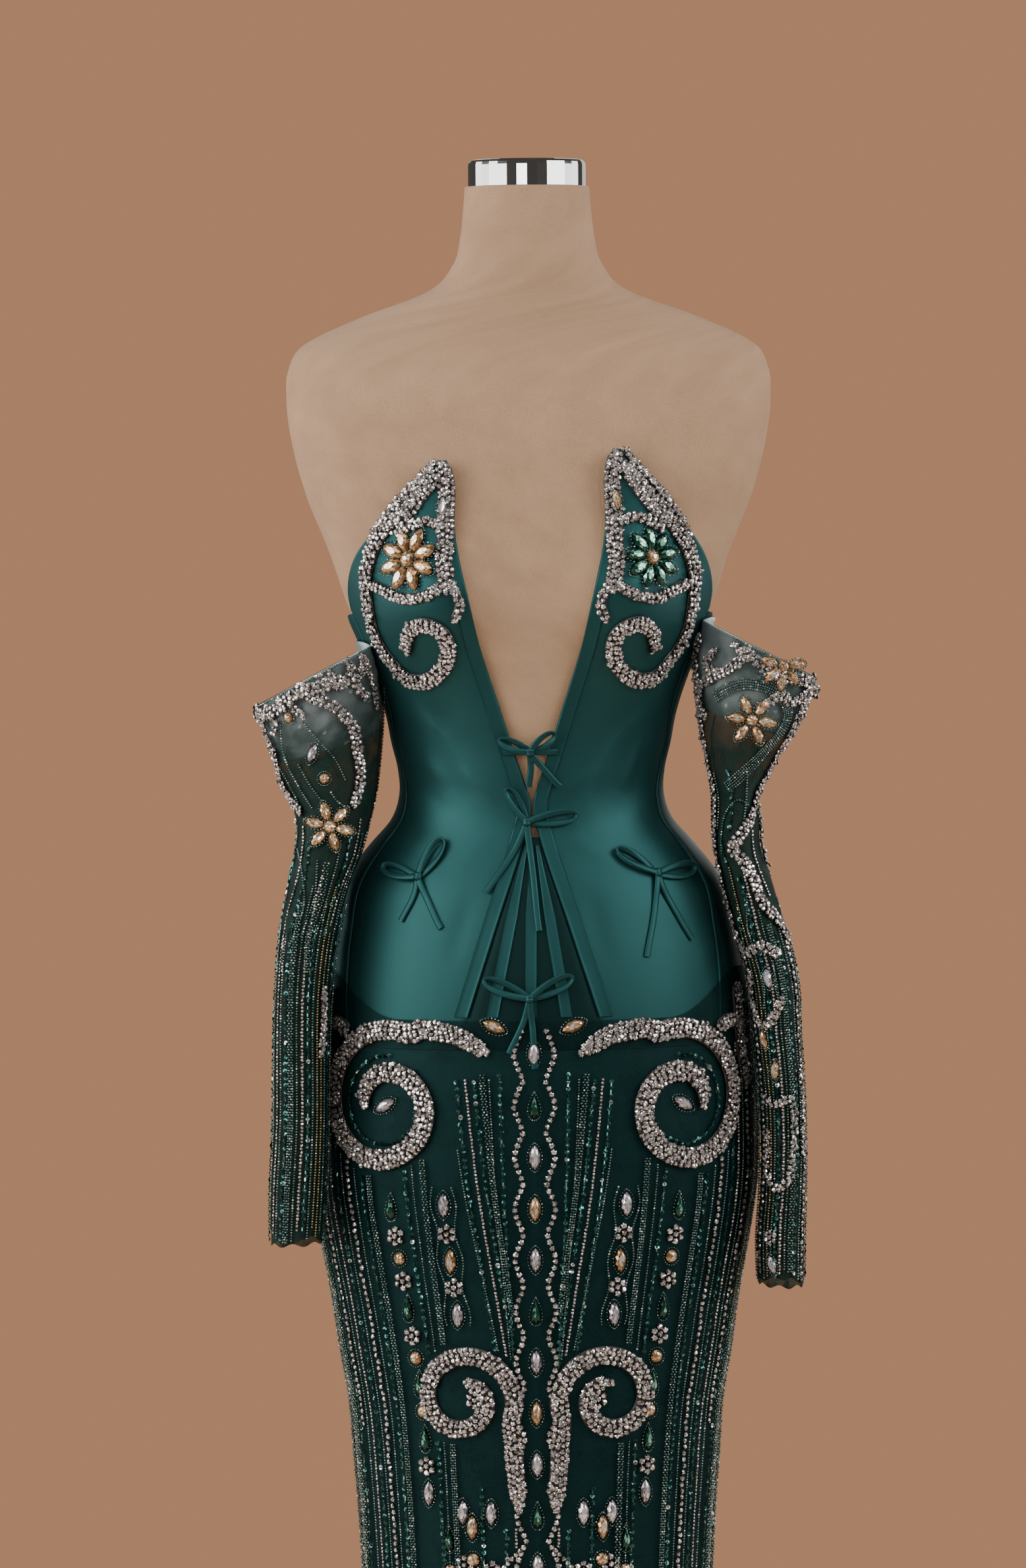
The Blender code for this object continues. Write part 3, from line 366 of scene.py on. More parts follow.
def makePiece(name, parts, replaces=(), sharpAngle=None):
    # Joins parts, each with points, faces, a material and optional tints, uv and smoothness, into one mesh.
    points = [part["points"].reshape(-1, 3) for part in parts]
    starts = np.cumsum([0] + [len(p) for p in points])
    points = np.concatenate(points)
    corners, sizes, smooth, tints, slots, uv, materials = [], [], [], [], [], [], []
    for part, start in zip(parts, starts):
        if part["material"] not in materials:
            materials.append(part["material"])
        partUv = part.get("uv", np.zeros((part["points"].size // 3, 2)))
        tint = part.get("tints")
        for k, faces in enumerate(part["faces"]):
            corners.append((faces + start).ravel())
            count = len(faces)
            sizes.append(np.full(count, faces.shape[1]))
            smooth.append(np.full(count, part.get("smooth", True)))
            tints.append(np.full(count, 0.5) if tint is None else tint[k])
            slots.append(np.full(count, materials.index(part["material"])))
            uv.append(partUv[faces.ravel()])
    corners, sizes = np.concatenate(corners), np.concatenate(sizes)
    mesh = bpy.data.meshes.new(name)
    mesh.vertices.add(len(points))
    mesh.vertices.foreach_set("co", points.astype(np.float32).ravel())
    mesh.loops.add(len(corners))
    mesh.loops.foreach_set("vertex_index", corners.astype(np.int32))
    mesh.polygons.add(len(sizes))
    mesh.polygons.foreach_set("loop_start", np.concatenate([[0], np.cumsum(sizes)[:-1]]).astype(np.int32))
    mesh.polygons.foreach_set("material_index", np.concatenate(slots).astype(np.int32))
    mesh.update(calc_edges=True)
    mesh.polygons.foreach_set("use_smooth", np.concatenate(smooth).astype(bool))
    tint = mesh.attributes.new("tint", "FLOAT", "FACE")
    tint.data.foreach_set("value", np.concatenate(tints).astype(np.float32))
    mesh.uv_layers.new(name="cloth").data.foreach_set("uv", np.concatenate(uv).astype(np.float32).ravel())
    if sharpAngle:
        mesh.set_sharp_from_angle(angle=math.radians(sharpAngle))
    for material in materials:
        mesh.materials.append(finishes[material])
    made = bpy.data.objects.new(name, mesh)
    bpy.context.scene.collection.objects.link(made)
    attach(made, mainBody)
    if replaces:
        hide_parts(*replaces)
    return made


def clothWall(inner, outer, uv, material, closed=False):
    # A closed wall between two grids of points: both faces and the rims between their edges.
    rows, columns = outer.shape[:2]
    count = rows * columns
    face = quadsOf(rows, columns, closed)
    index = np.arange(count).reshape(rows, columns)
    if closed:
        index = np.concatenate([index, index[:, :1]], axis=1)
    edges = [np.stack([index[0, 1:], index[0, :-1]], -1), np.stack([index[-1, :-1], index[-1, 1:]], -1)]
    if not closed:
        edges.append(np.stack([index[:-1, 0], index[1:, 0]], -1))
        edges.append(np.stack([index[1:, -1], index[:-1, -1]], -1))
    rim = [np.stack([e[:, 0], e[:, 1], e[:, 1] + count, e[:, 0] + count], -1) for e in edges]
    points = np.concatenate([outer.reshape(-1, 3), inner.reshape(-1, 3)])
    uv = np.concatenate([uv.reshape(-1, 2)] * 2)
    faces = [face, np.concatenate(rim), face[:, ::-1] + count]
    return {"points": points, "faces": faces, "uv": uv, "material": material}


def endFaces(rows, columns):
    # The two flat ends of a closed tube, facing away from it.
    ring = np.arange(columns)
    return np.stack([ring, (ring + (rows - 1) * columns)[::-1]])


# What a cut has beyond its surface: length and width added, and its area's share
cutSettings = {"more": 4 * mm, "areaShare": 1.01}


def declareSheet(piece, grid, closed=False):
    # Works out the cut's flat size, its longest row by its longest column, and its area, the sum of the
    # grid's cells, then keeps neither.
    if closed:
        grid = np.concatenate([grid, grid[:, :1]], axis=1)
    across = np.linalg.norm(np.diff(grid, axis=1), axis=-1).sum(axis=1).max()
    along = np.linalg.norm(np.diff(grid, axis=0), axis=-1).sum(axis=0).max()
    a, b = grid[1:, 1:] - grid[:-1, :-1], grid[1:, :-1] - grid[:-1, 1:]
    area = np.linalg.norm(np.cross(a, b), axis=-1).sum() / 2
    width, length = (round(float(size) + cutSettings["more"], 3) for size in (across, along))
    area = min(round(float(area) * cutSettings["areaShare"], 4), width * length)


# Shader groups and materials

def feed(node, socket, output):
    # Links an output to one of a node's inputs.
    node.id_data.links.new(output, node.inputs[socket])


def newGroup(name, inputs, outputs):
    # An empty shader group with float or colour sockets.
    group = bpy.data.node_groups.new(name, "ShaderNodeTree")
    for socket, kind, value in inputs:
        made = group.interface.new_socket(name=socket, in_out="INPUT", socket_type=kind)
        made.default_value = value
    for socket, kind in outputs:
        group.interface.new_socket(name=socket, in_out="OUTPUT", socket_type=kind)
    return group, group.nodes.new("NodeGroupInput"), group.nodes.new("NodeGroupOutput")


def mathNode(tree, operation, first, second=None):
    # One arithmetic node with its inputs linked or set.
    node = tree.nodes.new("ShaderNodeMath")
    node.operation = operation
    for socket, value in zip(node.inputs, (first, second)):
        if value is None:
            continue
        if isinstance(value, (int, float)):
            socket.default_value = value
        else:
            tree.links.new(value, socket)
    return node.outputs[0]


def clothPlace(tree):
    # The cloth's own uv, whole and split into across and along.
    uv, split = tree.nodes.new("ShaderNodeUVMap"), tree.nodes.new("ShaderNodeSeparateXYZ")
    uv.uv_map = "cloth"
    tree.links.new(uv.outputs[0], split.inputs[0])
    return uv, split


def weaveGroup():
    # Height of a plain weave: the product of two sines across and along, their pitch in metres.
    # The mottling is a slow noise on the same uv.
    inputs = [
        ("Across", "NodeSocketFloat", 0.001), ("Along", "NodeSocketFloat", 0.001),
        ("Mottle", "NodeSocketFloat", 40.0),
    ]
    group, entry, out = newGroup(
        "clothWeave", inputs, [("Height", "NodeSocketFloat"), ("Mottling", "NodeSocketFloat")],
    )
    uv, split = clothPlace(group)
    waves = []
    for axis, pitch in ((0, "Across"), (1, "Along")):
        phase = mathNode(group, "DIVIDE", split.outputs[axis], entry.outputs[pitch])
        waves.append(mathNode(group, "SINE", mathNode(group, "MULTIPLY", phase, 6.2832)))
    feed(out, "Height", mathNode(group, "MULTIPLY", *waves))
    noise = group.nodes.new("ShaderNodeTexNoise")
    noise.inputs["Detail"].default_value = 3
    feed(noise, "Vector", uv.outputs[0])
    feed(noise, "Scale", entry.outputs["Mottle"])
    feed(out, "Mottling", noise.outputs[0])
    return group


def netGroup():
    # A net's threads on the cloth's uv: 1 on thin lines that cross on the bias, 0 in the holes.
    inputs = [("Pitch", "NodeSocketFloat", 0.0012), ("Thread", "NodeSocketFloat", 0.5)]
    group, entry, out = newGroup("netThreads", inputs, [("Thread", "NodeSocketFloat")])
    split = clothPlace(group)[1]
    lines = []
    for way in ("ADD", "SUBTRACT"):
        phase = mathNode(
            group, "DIVIDE", mathNode(group, way, split.outputs[0], split.outputs[1]),
            entry.outputs["Pitch"],
        )
        lines.append(
            mathNode(group, "ABSOLUTE", mathNode(group, "SINE", mathNode(group, "MULTIPLY", phase, 3.1416)))
        )
    onThread = mathNode(group, "LESS_THAN", mathNode(group, "MINIMUM", *lines), entry.outputs["Thread"])
    feed(out, "Thread", onThread)
    return group


# Faces whose tint lies above the first bound take a painted glint colour; faces below the second are a
# stone's dark metal cup
tintSettings = {"paintedGlintAbove": 0.93, "cupBelow": -0.5, "cup": (0.018, 0.017, 0.016)}


def tintGroup():
    # Moves from one colour to another by each face's own tint. The highest tints take a third colour, a
    # painted glint, and faces below 0 are the dark metal cup that holds a stone.
    white = (1, 1, 1, 1)
    inputs = [(name, "NodeSocketColor", white) for name in ("Low", "High", "PaintedGlint")]
    group, entry, out = newGroup(
        "beadTint", inputs, [("Color", "NodeSocketColor"), ("Tint", "NodeSocketFloat")],
    )
    tint = group.nodes.new("ShaderNodeAttribute")
    tint.attribute_name = "tint"
    mixes = [group.nodes.new("ShaderNodeMix") for _ in range(3)]
    for mix in mixes:
        mix.data_type = "RGBA"
    own, paintedGlint, cup = mixes
    feed(own, "Factor", tint.outputs["Fac"])
    feed(own, "A", entry.outputs["Low"])
    feed(own, "B", entry.outputs["High"])
    isPaintedGlint = mathNode(group, "GREATER_THAN", tint.outputs["Fac"], tintSettings["paintedGlintAbove"])
    feed(paintedGlint, "Factor", isPaintedGlint)
    feed(paintedGlint, "A", own.outputs["Result"])
    feed(paintedGlint, "B", entry.outputs["PaintedGlint"])
    isCup = mathNode(group, "LESS_THAN", tint.outputs["Fac"], tintSettings["cupBelow"])
    feed(cup, "Factor", isCup)
    feed(cup, "A", paintedGlint.outputs["Result"])
    cup.inputs["B"].default_value = (*tintSettings["cup"], 1)
    feed(out, "Color", cup.outputs["Result"])
    feed(out, "Tint", tint.outputs["Fac"])
    return group


weave, net, beadTint = weaveGroup(), netGroup(), tintGroup()
finishes = {}


def newFinish(name, settings):
    # A Principled material with its constants set on the sockets.
    made = bpy.data.materials.new(name)
    made.use_nodes = True
    tree = made.node_tree
    shader = tree.nodes["Principled BSDF"]
    for socket, value in settings.items():
        shader.inputs[socket].default_value = (*value, 1) if isinstance(value, tuple) else value
    finishes[name] = made
    return tree, shader


def mixColours(tree, factor, low, high):
    # A colour between two, by a factor from 0 to 1.
    mix = tree.nodes.new("ShaderNodeMix")
    mix.data_type = "RGBA"
    feed(mix, "Factor", factor)
    mix.inputs["A"].default_value, mix.inputs["B"].default_value = (*low, 1), (*high, 1)
    return mix.outputs["Result"]


def spread(tree, value, low, high, newLow, newHigh):
    # Maps one range of values to another.
    node = tree.nodes.new("ShaderNodeMapRange")
    feed(node, "Value", value)
    for socket, number in zip(("From Min", "From Max", "To Min", "To Max"), (low, high, newLow, newHigh)):
        node.inputs[socket].default_value = number
    return node.outputs["Result"]


def addBump(tree, shader, height, strength, distance):
    # A bump from a height to the shader's normal.
    bump = tree.nodes.new("ShaderNodeBump")
    bump.inputs["Strength"].default_value, bump.inputs["Distance"].default_value = strength, distance
    feed(bump, "Height", height)
    feed(shader, "Normal", bump.outputs["Normal"])


def useGroup(tree, group, values):
    # Places a shared group in a material, with its own values.
    node = tree.nodes.new("ShaderNodeGroup")
    node.node_tree = group
    for socket, value in values.items():
        node.inputs[socket].default_value = (*value, 1) if isinstance(value, tuple) else value
    return node


# Each satin's low and high colour; the gusset's is darker as painted shade beneath the ribbons
satinColours = {
    "satin": ((0.0170, 0.069, 0.071), (0.0235, 0.092, 0.094)),
    "ribbonSatin": ((0.016, 0.066, 0.068), (0.021, 0.085, 0.087)),
    "gussetShadedSatin": ((0.005, 0.022, 0.022), (0.008, 0.030, 0.030)),
}
satinLook = {
    "Metallic": 0.62, "Specular IOR Level": 0.12, "Anisotropic": 0.3,
    "Sheen Weight": 0.06, "Sheen Roughness": 0.4, "Sheen Tint": (0.06, 0.45, 0.45),
}
# Each tulle's colours, its cover in the holes and on the threads, and how much denser and patchier it is
# below a height
tulleSettings = {
    "skirtTulle": {
        "low": (0.002, 0.015, 0.016), "high": (0.004, 0.026, 0.027), "cover": (0.10, 0.50),
        "dense": 0.0, "patches": 0.10, "patchScale": 30.0, "clearAbove": 2.0,
    },
    "sleeveTulle": {
        "low": (0.006, 0.022, 0.018), "high": (0.012, 0.034, 0.028), "cover": (0.12, 0.46),
        "dense": 0.40, "patches": 0.40, "patchScale": 55.0, "clearAbove": 1.105,
    },
}
organzaSettings = {"low": (0.28, 0.37, 0.385), "high": (0.72, 0.84, 0.86), "cover": (0.68, 0.94)}
jerseyColours = ((0.425, 0.268, 0.163), (0.515, 0.328, 0.205))


def makeSatins():
    # Satin of three depths, the gusset's darkened as painted shade: a fine warp and weft, with the mottling
    # in its colour and gloss.
    for name, (low, high) in satinColours.items():
        tree, shader = newFinish(name, satinLook)
        cloth = useGroup(tree, weave, {"Across": 0.0005, "Along": 0.0004, "Mottle": 1900.0})
        mottling = cloth.outputs["Mottling"]
        tone = spread(tree, mottling, 0.36, 0.64, 0, 1)
        feed(shader, "Base Color", mixColours(tree, tone, low, high))
        feed(shader, "Roughness", spread(tree, mottling, 0.3, 0.7, 0.37, 0.46))
        height = mathNode(tree, "ADD", mathNode(tree, "MULTIPLY", cloth.outputs["Height"], 0.3), mottling)
        addBump(tree, shader, height, 0.22, 0.0002)


def makeTulles():
    # Tulle: the net's threads cover more than its holes, and patches thicken it below a height.
    for name, t in tulleSettings.items():
        tree, shader = newFinish(name, {"Roughness": 0.6, "Specular IOR Level": 0.1})
        cloth = useGroup(tree, weave, {"Across": 0.0008, "Along": 0.0008, "Mottle": t["patchScale"]})
        mottling = cloth.outputs["Mottling"]
        thread = useGroup(tree, net, {"Pitch": 0.0012, "Thread": 0.42}).outputs["Thread"]
        feed(shader, "Base Color", mixColours(tree, mottling, t["low"], t["high"]))
        seen = spread(tree, thread, 0, 1, *t["cover"])
        patches = spread(tree, mottling, 0.48, 0.62, t["dense"], t["dense"] + t["patches"])
        along = clothPlace(tree)[1].outputs[1]
        below = spread(tree, along, t["clearAbove"] - 0.04, t["clearAbove"] + 0.04, 1, 0)
        cover = mathNode(tree, "ADD", seen, mathNode(tree, "MULTIPLY", patches, below))
        feed(shader, "Alpha", cover)
        addBump(tree, shader, thread, 0.2, 0.0002)


def makeOrganza():
    # Organza: clear and milky in turns, by one slow mottling.
    look = {
        "Roughness": 0.24, "Specular IOR Level": 0.9, "Sheen Weight": 0.2, "Sheen Tint": (0.6, 0.7, 0.7),
    }
    tree, shader = newFinish("organza", look)
    cloth = useGroup(tree, weave, {"Across": 0.0006, "Along": 0.0006, "Mottle": 26.0})
    mottling, s = cloth.outputs["Mottling"], organzaSettings
    milk = spread(tree, mottling, 0.42, 0.60, 0, 1)
    feed(shader, "Base Color", mixColours(tree, milk, s["low"], s["high"]))
    feed(shader, "Alpha", spread(tree, mottling, 0.3, 0.7, *s["cover"]))
    addBump(tree, shader, mottling, 0.35, 0.002)


def makeJersey():
    # The form's jersey: fine ribs, with a slow and a fine mottling in its colour.
    look = {
        "Roughness": 0.86, "Specular IOR Level": 0.25, "Sheen Weight": 0.12, "Sheen Tint": (0.9, 0.8, 0.7),
    }
    tree, shader = newFinish("jersey", look)
    ribs, fine = (
        useGroup(tree, weave, {"Across": 0.0013, "Along": 0.0021, "Mottle": scale})
        for scale in (34.0, 700.0)
    )
    slow = mathNode(tree, "MULTIPLY", ribs.outputs["Mottling"], 0.6)
    tone = mathNode(tree, "ADD", slow, mathNode(tree, "MULTIPLY", fine.outputs["Mottling"], 0.4))
    tone = spread(tree, tone, 0.35, 0.65, 0, 1)
    feed(shader, "Base Color", mixColours(tree, tone, *jerseyColours))
    height = mathNode(tree, "ADD", ribs.outputs["Height"], fine.outputs["Mottling"])
    addBump(tree, shader, height, 0.45, 0.0004)


# Each finish's dark and light colour, between which beads vary by chance and cut facets by painted
# highlight and shade, its painted glint colour, how metallic it is and how rough
beadColours = {
    "crystal": ((0.045, 0.038, 0.036), (0.88, 0.80, 0.78), (1.0, 0.99, 1.0), 0.75, 0.10),
    "lilacStone": ((0.06, 0.045, 0.055), (0.92, 0.84, 0.92), (1.0, 1.0, 1.0), 0.6, 0.07),
    "champagneStone": ((0.13, 0.060, 0.018), (0.86, 0.54, 0.28), (1.0, 0.93, 0.82), 0.6, 0.07),
    "emeraldStone": ((0.001, 0.012, 0.008), (0.010, 0.135, 0.080), (0.30, 0.60, 0.48), 0.5, 0.07),
    "ropeBead": ((0.04, 0.10, 0.095), (0.26, 0.38, 0.35), (0.85, 0.90, 0.86), 0.9, 0.17),
    "goldBead": ((0.20, 0.15, 0.05), (0.62, 0.50, 0.24), (0.95, 0.86, 0.62), 0.95, 0.22),
    "greenSequin": ((0.010, 0.055, 0.050), (0.06, 0.22, 0.20), (0.75, 0.88, 0.84), 0.9, 0.16),
    "backing": ((0.030, 0.026, 0.024), (0.060, 0.050, 0.046), (0.07, 0.06, 0.055), 0.3, 0.6),
}
beadCoat = {"Specular IOR Level": 0.6, "Coat Weight": 0.3, "Coat Roughness": 0.05}


def makeBeadFinishes():
    # Foiled glass and metal beads, coloured by each bead's tint, with a painted glint colour on the
    # brightest faces, the light ones glossier.
    for name, (low, high, paintedGlint, metallic, roughness) in beadColours.items():
        tree, shader = newFinish(name, {"Metallic": metallic, **beadCoat})
        tint = useGroup(tree, beadTint, {"Low": low, "High": high, "PaintedGlint": paintedGlint})
        feed(shader, "Base Color", tint.outputs["Color"])
        gloss = spread(tree, tint.outputs["Tint"], 0, 1, roughness * 1.5, roughness * 0.7)
        feed(shader, "Roughness", gloss)


# Each metal's two colours, its range of roughness and how metallic it is
metalSettings = {
    "chrome": ((0.55, 0.55, 0.56), (0.66, 0.66, 0.68), (0.05, 0.10), 1.0),
    "paintedSteel": ((0.030, 0.030, 0.033), (0.045, 0.045, 0.048), (0.30, 0.42), 0.4),
    "zipMetal": ((0.16, 0.22, 0.21), (0.26, 0.33, 0.32), (0.22, 0.34), 1.0),
}
metalNodes = {
    "form_neck_cap": "chrome", "form_pole": "chrome", "form_socket": "chrome",
    "form_base": "paintedSteel", "zip_slider": "zipMetal", "zip_pull_tab": "zipMetal",
}


def objectNoise(tree, scale):
    # A slow noise read in object space.
    place, noise = tree.nodes.new("ShaderNodeTexCoord"), tree.nodes.new("ShaderNodeTexNoise")
    noise.inputs["Scale"].default_value = scale
    feed(noise, "Vector", place.outputs["Object"])
    return noise


def makeMetals():
    # Metals and paint with a slow wear in their gloss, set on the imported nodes.
    for name, (low, high, rough, metallic) in metalSettings.items():
        tree, shader = newFinish(name, {"Metallic": metallic})
        noise = objectNoise(tree, 14)
        noise.inputs["Detail"].default_value = 5
        feed(shader, "Base Color", mixColours(tree, noise.outputs[0], low, high))
        feed(shader, "Roughness", spread(tree, noise.outputs[0], 0.3, 0.7, *rough))
    for node, finish in metalNodes.items():
        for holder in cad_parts[node].material_slots:
            holder.material = finishes[finish]


makeSatins()
makeTulles()
makeOrganza()
makeJersey()
makeBeadFinishes()
makeMetals()
print("materials made")

# Floor

floorSettings = {"rings": (0.01, 0.6, 1.4, 2.5), "sides": 96}


def makeFloor():
    # A round plain floor: rings of points about the stand, with one face in their middle.
    rings, sides = floorSettings["rings"], floorSettings["sides"]
    angle = np.linspace(0, 2 * math.pi, sides + 1)[:-1]
    x, y = np.array(rings)[:, None] * np.cos(angle), np.array(rings)[:, None] * np.sin(angle)
    points = np.stack([x, y, np.zeros_like(x)], -1)
    tree, shader = newFinish("floorPaint", {"Roughness": 0.8, "Specular IOR Level": 0.2})
    tone = roomSettings["floor"]
    mixed = mixColours(tree, objectNoise(tree, 3).outputs[0], tone, tuple(v * 1.05 for v in tone))
    feed(shader, "Base Color", mixed)
    mesh = bpy.data.meshes.new("floor")
    faces = quadsOf(len(rings), sides, True)[:, ::-1].tolist() + [list(range(sides))]
    mesh.from_pydata(points.reshape(-1, 3).tolist(), [], faces)
    mesh.materials.append(finishes["floorPaint"])
    floor = bpy.data.objects.new("floor", mesh)
    bpy.context.scene.collection.objects.link(floor)


makeFloor()

# Dress form

# Rows below and above the shoulders, and how far the jersey is drawn in below the chest
torsoSettings = {
    "rows": (84, 46), "shoulders": (1.36, 1.364), "neck": 1.556, "columns": 112, "inset": 1.0 * mm,
}


def makeTorso():
    # The body's own surface, closed at its foot and its neck by flat ends.
    s = torsoSettings
    low = np.linspace(heights["formFoot"], s["shoulders"][0], s["rows"][0])
    z = np.concatenate([low, np.linspace(s["shoulders"][1], s["neck"], s["rows"][1])])[:, None]
    turn = np.linspace(-math.pi, math.pi, s["columns"] + 1)[None, :-1]
    inset = -s["inset"] * (1 - ease(1.275, 1.31, z))
    turn, z, inset = np.broadcast_arrays(turn, z, inset)
    points = bodyPoint(turn, z) + outward(turn, z) * inset[..., None]
    rows, columns = turn.shape
    faces = [quadsOf(rows, columns, True), endFaces(rows, columns)[:, ::-1]]
    uv = np.stack([distances(points) - 0.3, z], -1).reshape(-1, 2)
    part = {"points": points, "faces": faces, "uv": uv, "material": "jersey"}
    makePiece("dressFormTorso", [part], ["form_torso"], 50)


makeTorso()
print("dress form made")

# Satin bodice

# Turns are in radians, lengths in metres
bodiceSettings = {
    "tipDrop": {-1: 9 * mm, 1: 1 * mm}, "frontRows": (80, 38), "frontColumns": 52, "rows": 76,
    "columns": 26,
}
weltSettings = {"wide": 1.5 * mm, "tall": 1.1 * mm, "sides": 8}
# Soft creases on each side's front, which differ: from (across, z) to (across, z), width and height in mm
bodiceCreases = {
    -1: (
        (-60, 1092, -28, 1066, 5, 0.7), (-96, 1100, -70, 1078, 7, 0.6), (-30, 1035, -70, 1010, 7, 0.6),
        (-90, 1150, -60, 1120, 9, -0.7), (-40, 1000, -58, 930, 9, -0.8), (-104, 1075, -60, 1052, 6, -0.5),
    ),
    1: (
        (62, 1090, 30, 1068, 5, 0.7), (100, 1120, 90, 1072, 6, 0.9), (34, 1034, 76, 1012, 7, 0.6),
        (92, 1150, 62, 1118, 9, -0.7), (42, 1000, 60, 930, 9, -0.8), (112, 1052, 80, 1040, 7, 0.6),
    ),
}


def creaseHeight(arc, z, creases):
    # Each crease is a soft hill round a line: a bell across it, and half a sine along it.
    total = np.zeros(np.broadcast(arc, z).shape)
    for a0, z0, a1, z1, wide, tall in creases:
        along = np.array([a1 - a0, z1 - z0]) * mm
        reach = np.hypot(*along)
        t = ((arc - a0 * mm) * along[0] + (z - z0 * mm) * along[1]) / reach**2
        away = ((arc - a0 * mm) * along[1] - (z - z0 * mm) * along[0]) / reach
        bell = tall * mm * np.exp(-((away / (wide * mm)) ** 2))
        total = total + bell * np.sin(math.pi * np.clip(t, 0, 1))
    return total


def edgeFall(count, width):
    # 0 on a grid's own edges and 1 inside them, over the first few columns.
    share = np.minimum(np.arange(count), np.arange(count)[::-1]) / max(width, 1)
    return np.sqrt(np.clip(1 - (1 - np.clip(share, 0, 1)) ** 2, 0, 1))


def arcOf(turn, z, out=0.0):
    # Distance from the centre front along each row of the body's surface.
    points = onBody(turn, z, out)
    start = np.linalg.norm(points[:, 0, :2] - np.array([0, -0.1]), axis=-1) * np.sign(turn[:, 0])
    return np.sign(turn) * np.abs(distances(points) + start[:, None])


def satinPanel(name, turn, z, nodes, creases=(), material="satin", welts=()):
    # A panel on the body: its face rounds down at its seams and carries its creases.
    low, high = layers["satinBack"], layers["satinFace"]
    fall = edgeFall(turn.shape[1], 1.5)[None, :] * (0.35 + 0.65 * edgeFall(len(turn), 2)[:, None])
    arc = arcOf(turn, z, high)
    out = low + (high - low) * (0.45 + 0.55 * fall) + creaseHeight(arc, z, creases) * fall
    outer, inner = onBody(turn, z, out), onBody(turn, z, low)
    parts = [clothWall(inner, outer, np.stack([arc, z], -1), material), *welts]
    declareSheet(makePiece(name, parts, nodes, 45), outer)


def weltPart(turn, z):
    # The piped welt of a seam: a half-round cord carried up the seam, just outside the panel.
    turn, z, sides = turn[:, 0], z[:, 0], weltSettings["sides"]
    centre, normal = onBody(turn, z, layers["satinFace"]), outward(turn, z)
    across = unit(np.cross(np.gradient(centre, axis=0), normal))
    angle = np.linspace(0, 2 * math.pi, sides + 1)[:-1, None]
    wide = np.cos(angle) * weltSettings["wide"]
    tall = np.maximum(np.sin(angle), -0.2) * weltSettings["tall"]
    points = (centre[:, None] + across[:, None] * wide + normal[:, None] * tall).reshape(-1, 3)
    faces = [quadsOf(len(z), sides, True)[:, ::-1], endFaces(len(z), sides)]
    return {"points": points, "faces": faces, "uv": points[:, [0, 2]], "material": "ribbonSatin"}


def tipDrop(side, z):
    # How far a cup's points come down near its tip.
    return bodiceSettings["tipDrop"][side] * ease(1.25, heights["tip"], z)


def mirroredGrid(turn, z, side):
    # A grid of the right side as it is, or turned over to the left with its columns in the other order.
    return (turn, z) if side > 0 else (-turn[:, ::-1], z[:, ::-1])


frontSpans = ((heights["hipSeam"] + seam / 2, 1.215), (1.218, heights["tip"]))
sideSettings = {"levelBelow": 1.130, "topTurns": (math.radians(70), math.radians(150))}


def makeFront(side, word):
    # A front runs from the V's edge to the side seam and the cup's edge.
    low, high = (np.linspace(*ends, rows) for ends, rows in zip(frontSpans, bodiceSettings["frontRows"]))
    z = np.concatenate([low, high])[:, None]
    inner = turnOfX(between(innerEdge, "x", z) * mm + seam / 2, z)
    onSeam = z <= heights["sideTop"]
    edge = np.where(onSeam, between(sideSeam, "share", z) * section(z)[0], between(cupEdge, "x", z) * mm)
    outer = turnOfX(edge, z)
    outer = outer - stepOf(outer, z, np.where(onSeam, seam / 2, 0))
    across = np.linspace(0, 1, bodiceSettings["frontColumns"])[None, :]
    turn, z = np.broadcast_arrays(inner + across * (outer - inner), z)
    turn, z = mirroredGrid(turn, z - tipDrop(side, z), side)
    satinPanel("bodiceFront" + word.title(), turn, z, ["bodice_front_" + word], bodiceCreases[side])


def makeBodice():
    # Fronts, then sides and backs from seam to seam, whose top edge falls towards the back.
    z = np.linspace(heights["hipSeam"] + seam / 2, heights["sideTop"], bodiceSettings["rows"])[:, None]
    level = sideSettings["levelBelow"]
    nearTop = np.clip((z - level) / (heights["sideTop"] - level), 0, 1)
    seamTurn = turnOfX(between(sideSeam, "share", z) * section(z)[0], z)
    for side, word in ((-1, "left"), (1, "right")):
        makeFront(side, word)
        for piece, low, high in (("side", seamTurn, backPanelTurn), ("back", backPanelTurn, math.pi)):
            low = low + stepOf(low, z, seam / 2)
            high = high - stepOf(high, z, seam / 2)
            turn = low + np.linspace(0, 1, bodiceSettings["columns"])[None, :] * (high - low)
            fall = (heights["backTop"] - heights["sideTop"]) * ease(*sideSettings["topTurns"], np.abs(turn))
            turn, height = mirroredGrid(turn, z + nearTop * fall, side)
            welts = [weltPart(side * seamTurn, z)] if piece == "side" else []
            satinPanel(
                "bodice" + piece.title() + word.title(), turn, height, [f"bodice_{piece}_{word}"],
                welts=welts,
            )


makeBodice()

bandSettings = {"width": 11 * mm, "foot": 0.8944, "top": 1.292, "rows": 96, "thick": 1.0 * mm}
# Where the fan ribbons lie as shares of the gusset's half width, and the most of it that one covers
ribbonSettings = {
    "shares": (-0.62, -0.04, 0.50), "most": 0.36, "width": 9.5 * mm, "foot": 0.8944, "top": 1.029,
    "rows": 42,
}
ribbonColumns = 13
gussetSettings = {"top": 1.036, "rows": 32, "columns": 21}


def ribbonProfile(columns):
    # Height across a ribbon: low at its edges, a raised fold inside each, a shallow hollow between.
    t = np.abs(np.linspace(-1, 1, columns))
    folds = 0.35 * np.exp(-(((t - 0.82) / 0.12) ** 2))
    return 0.25 + 0.75 * np.sqrt(np.clip(1 - t**10, 0, 1)) + folds - 0.15 * (1 - t**2)


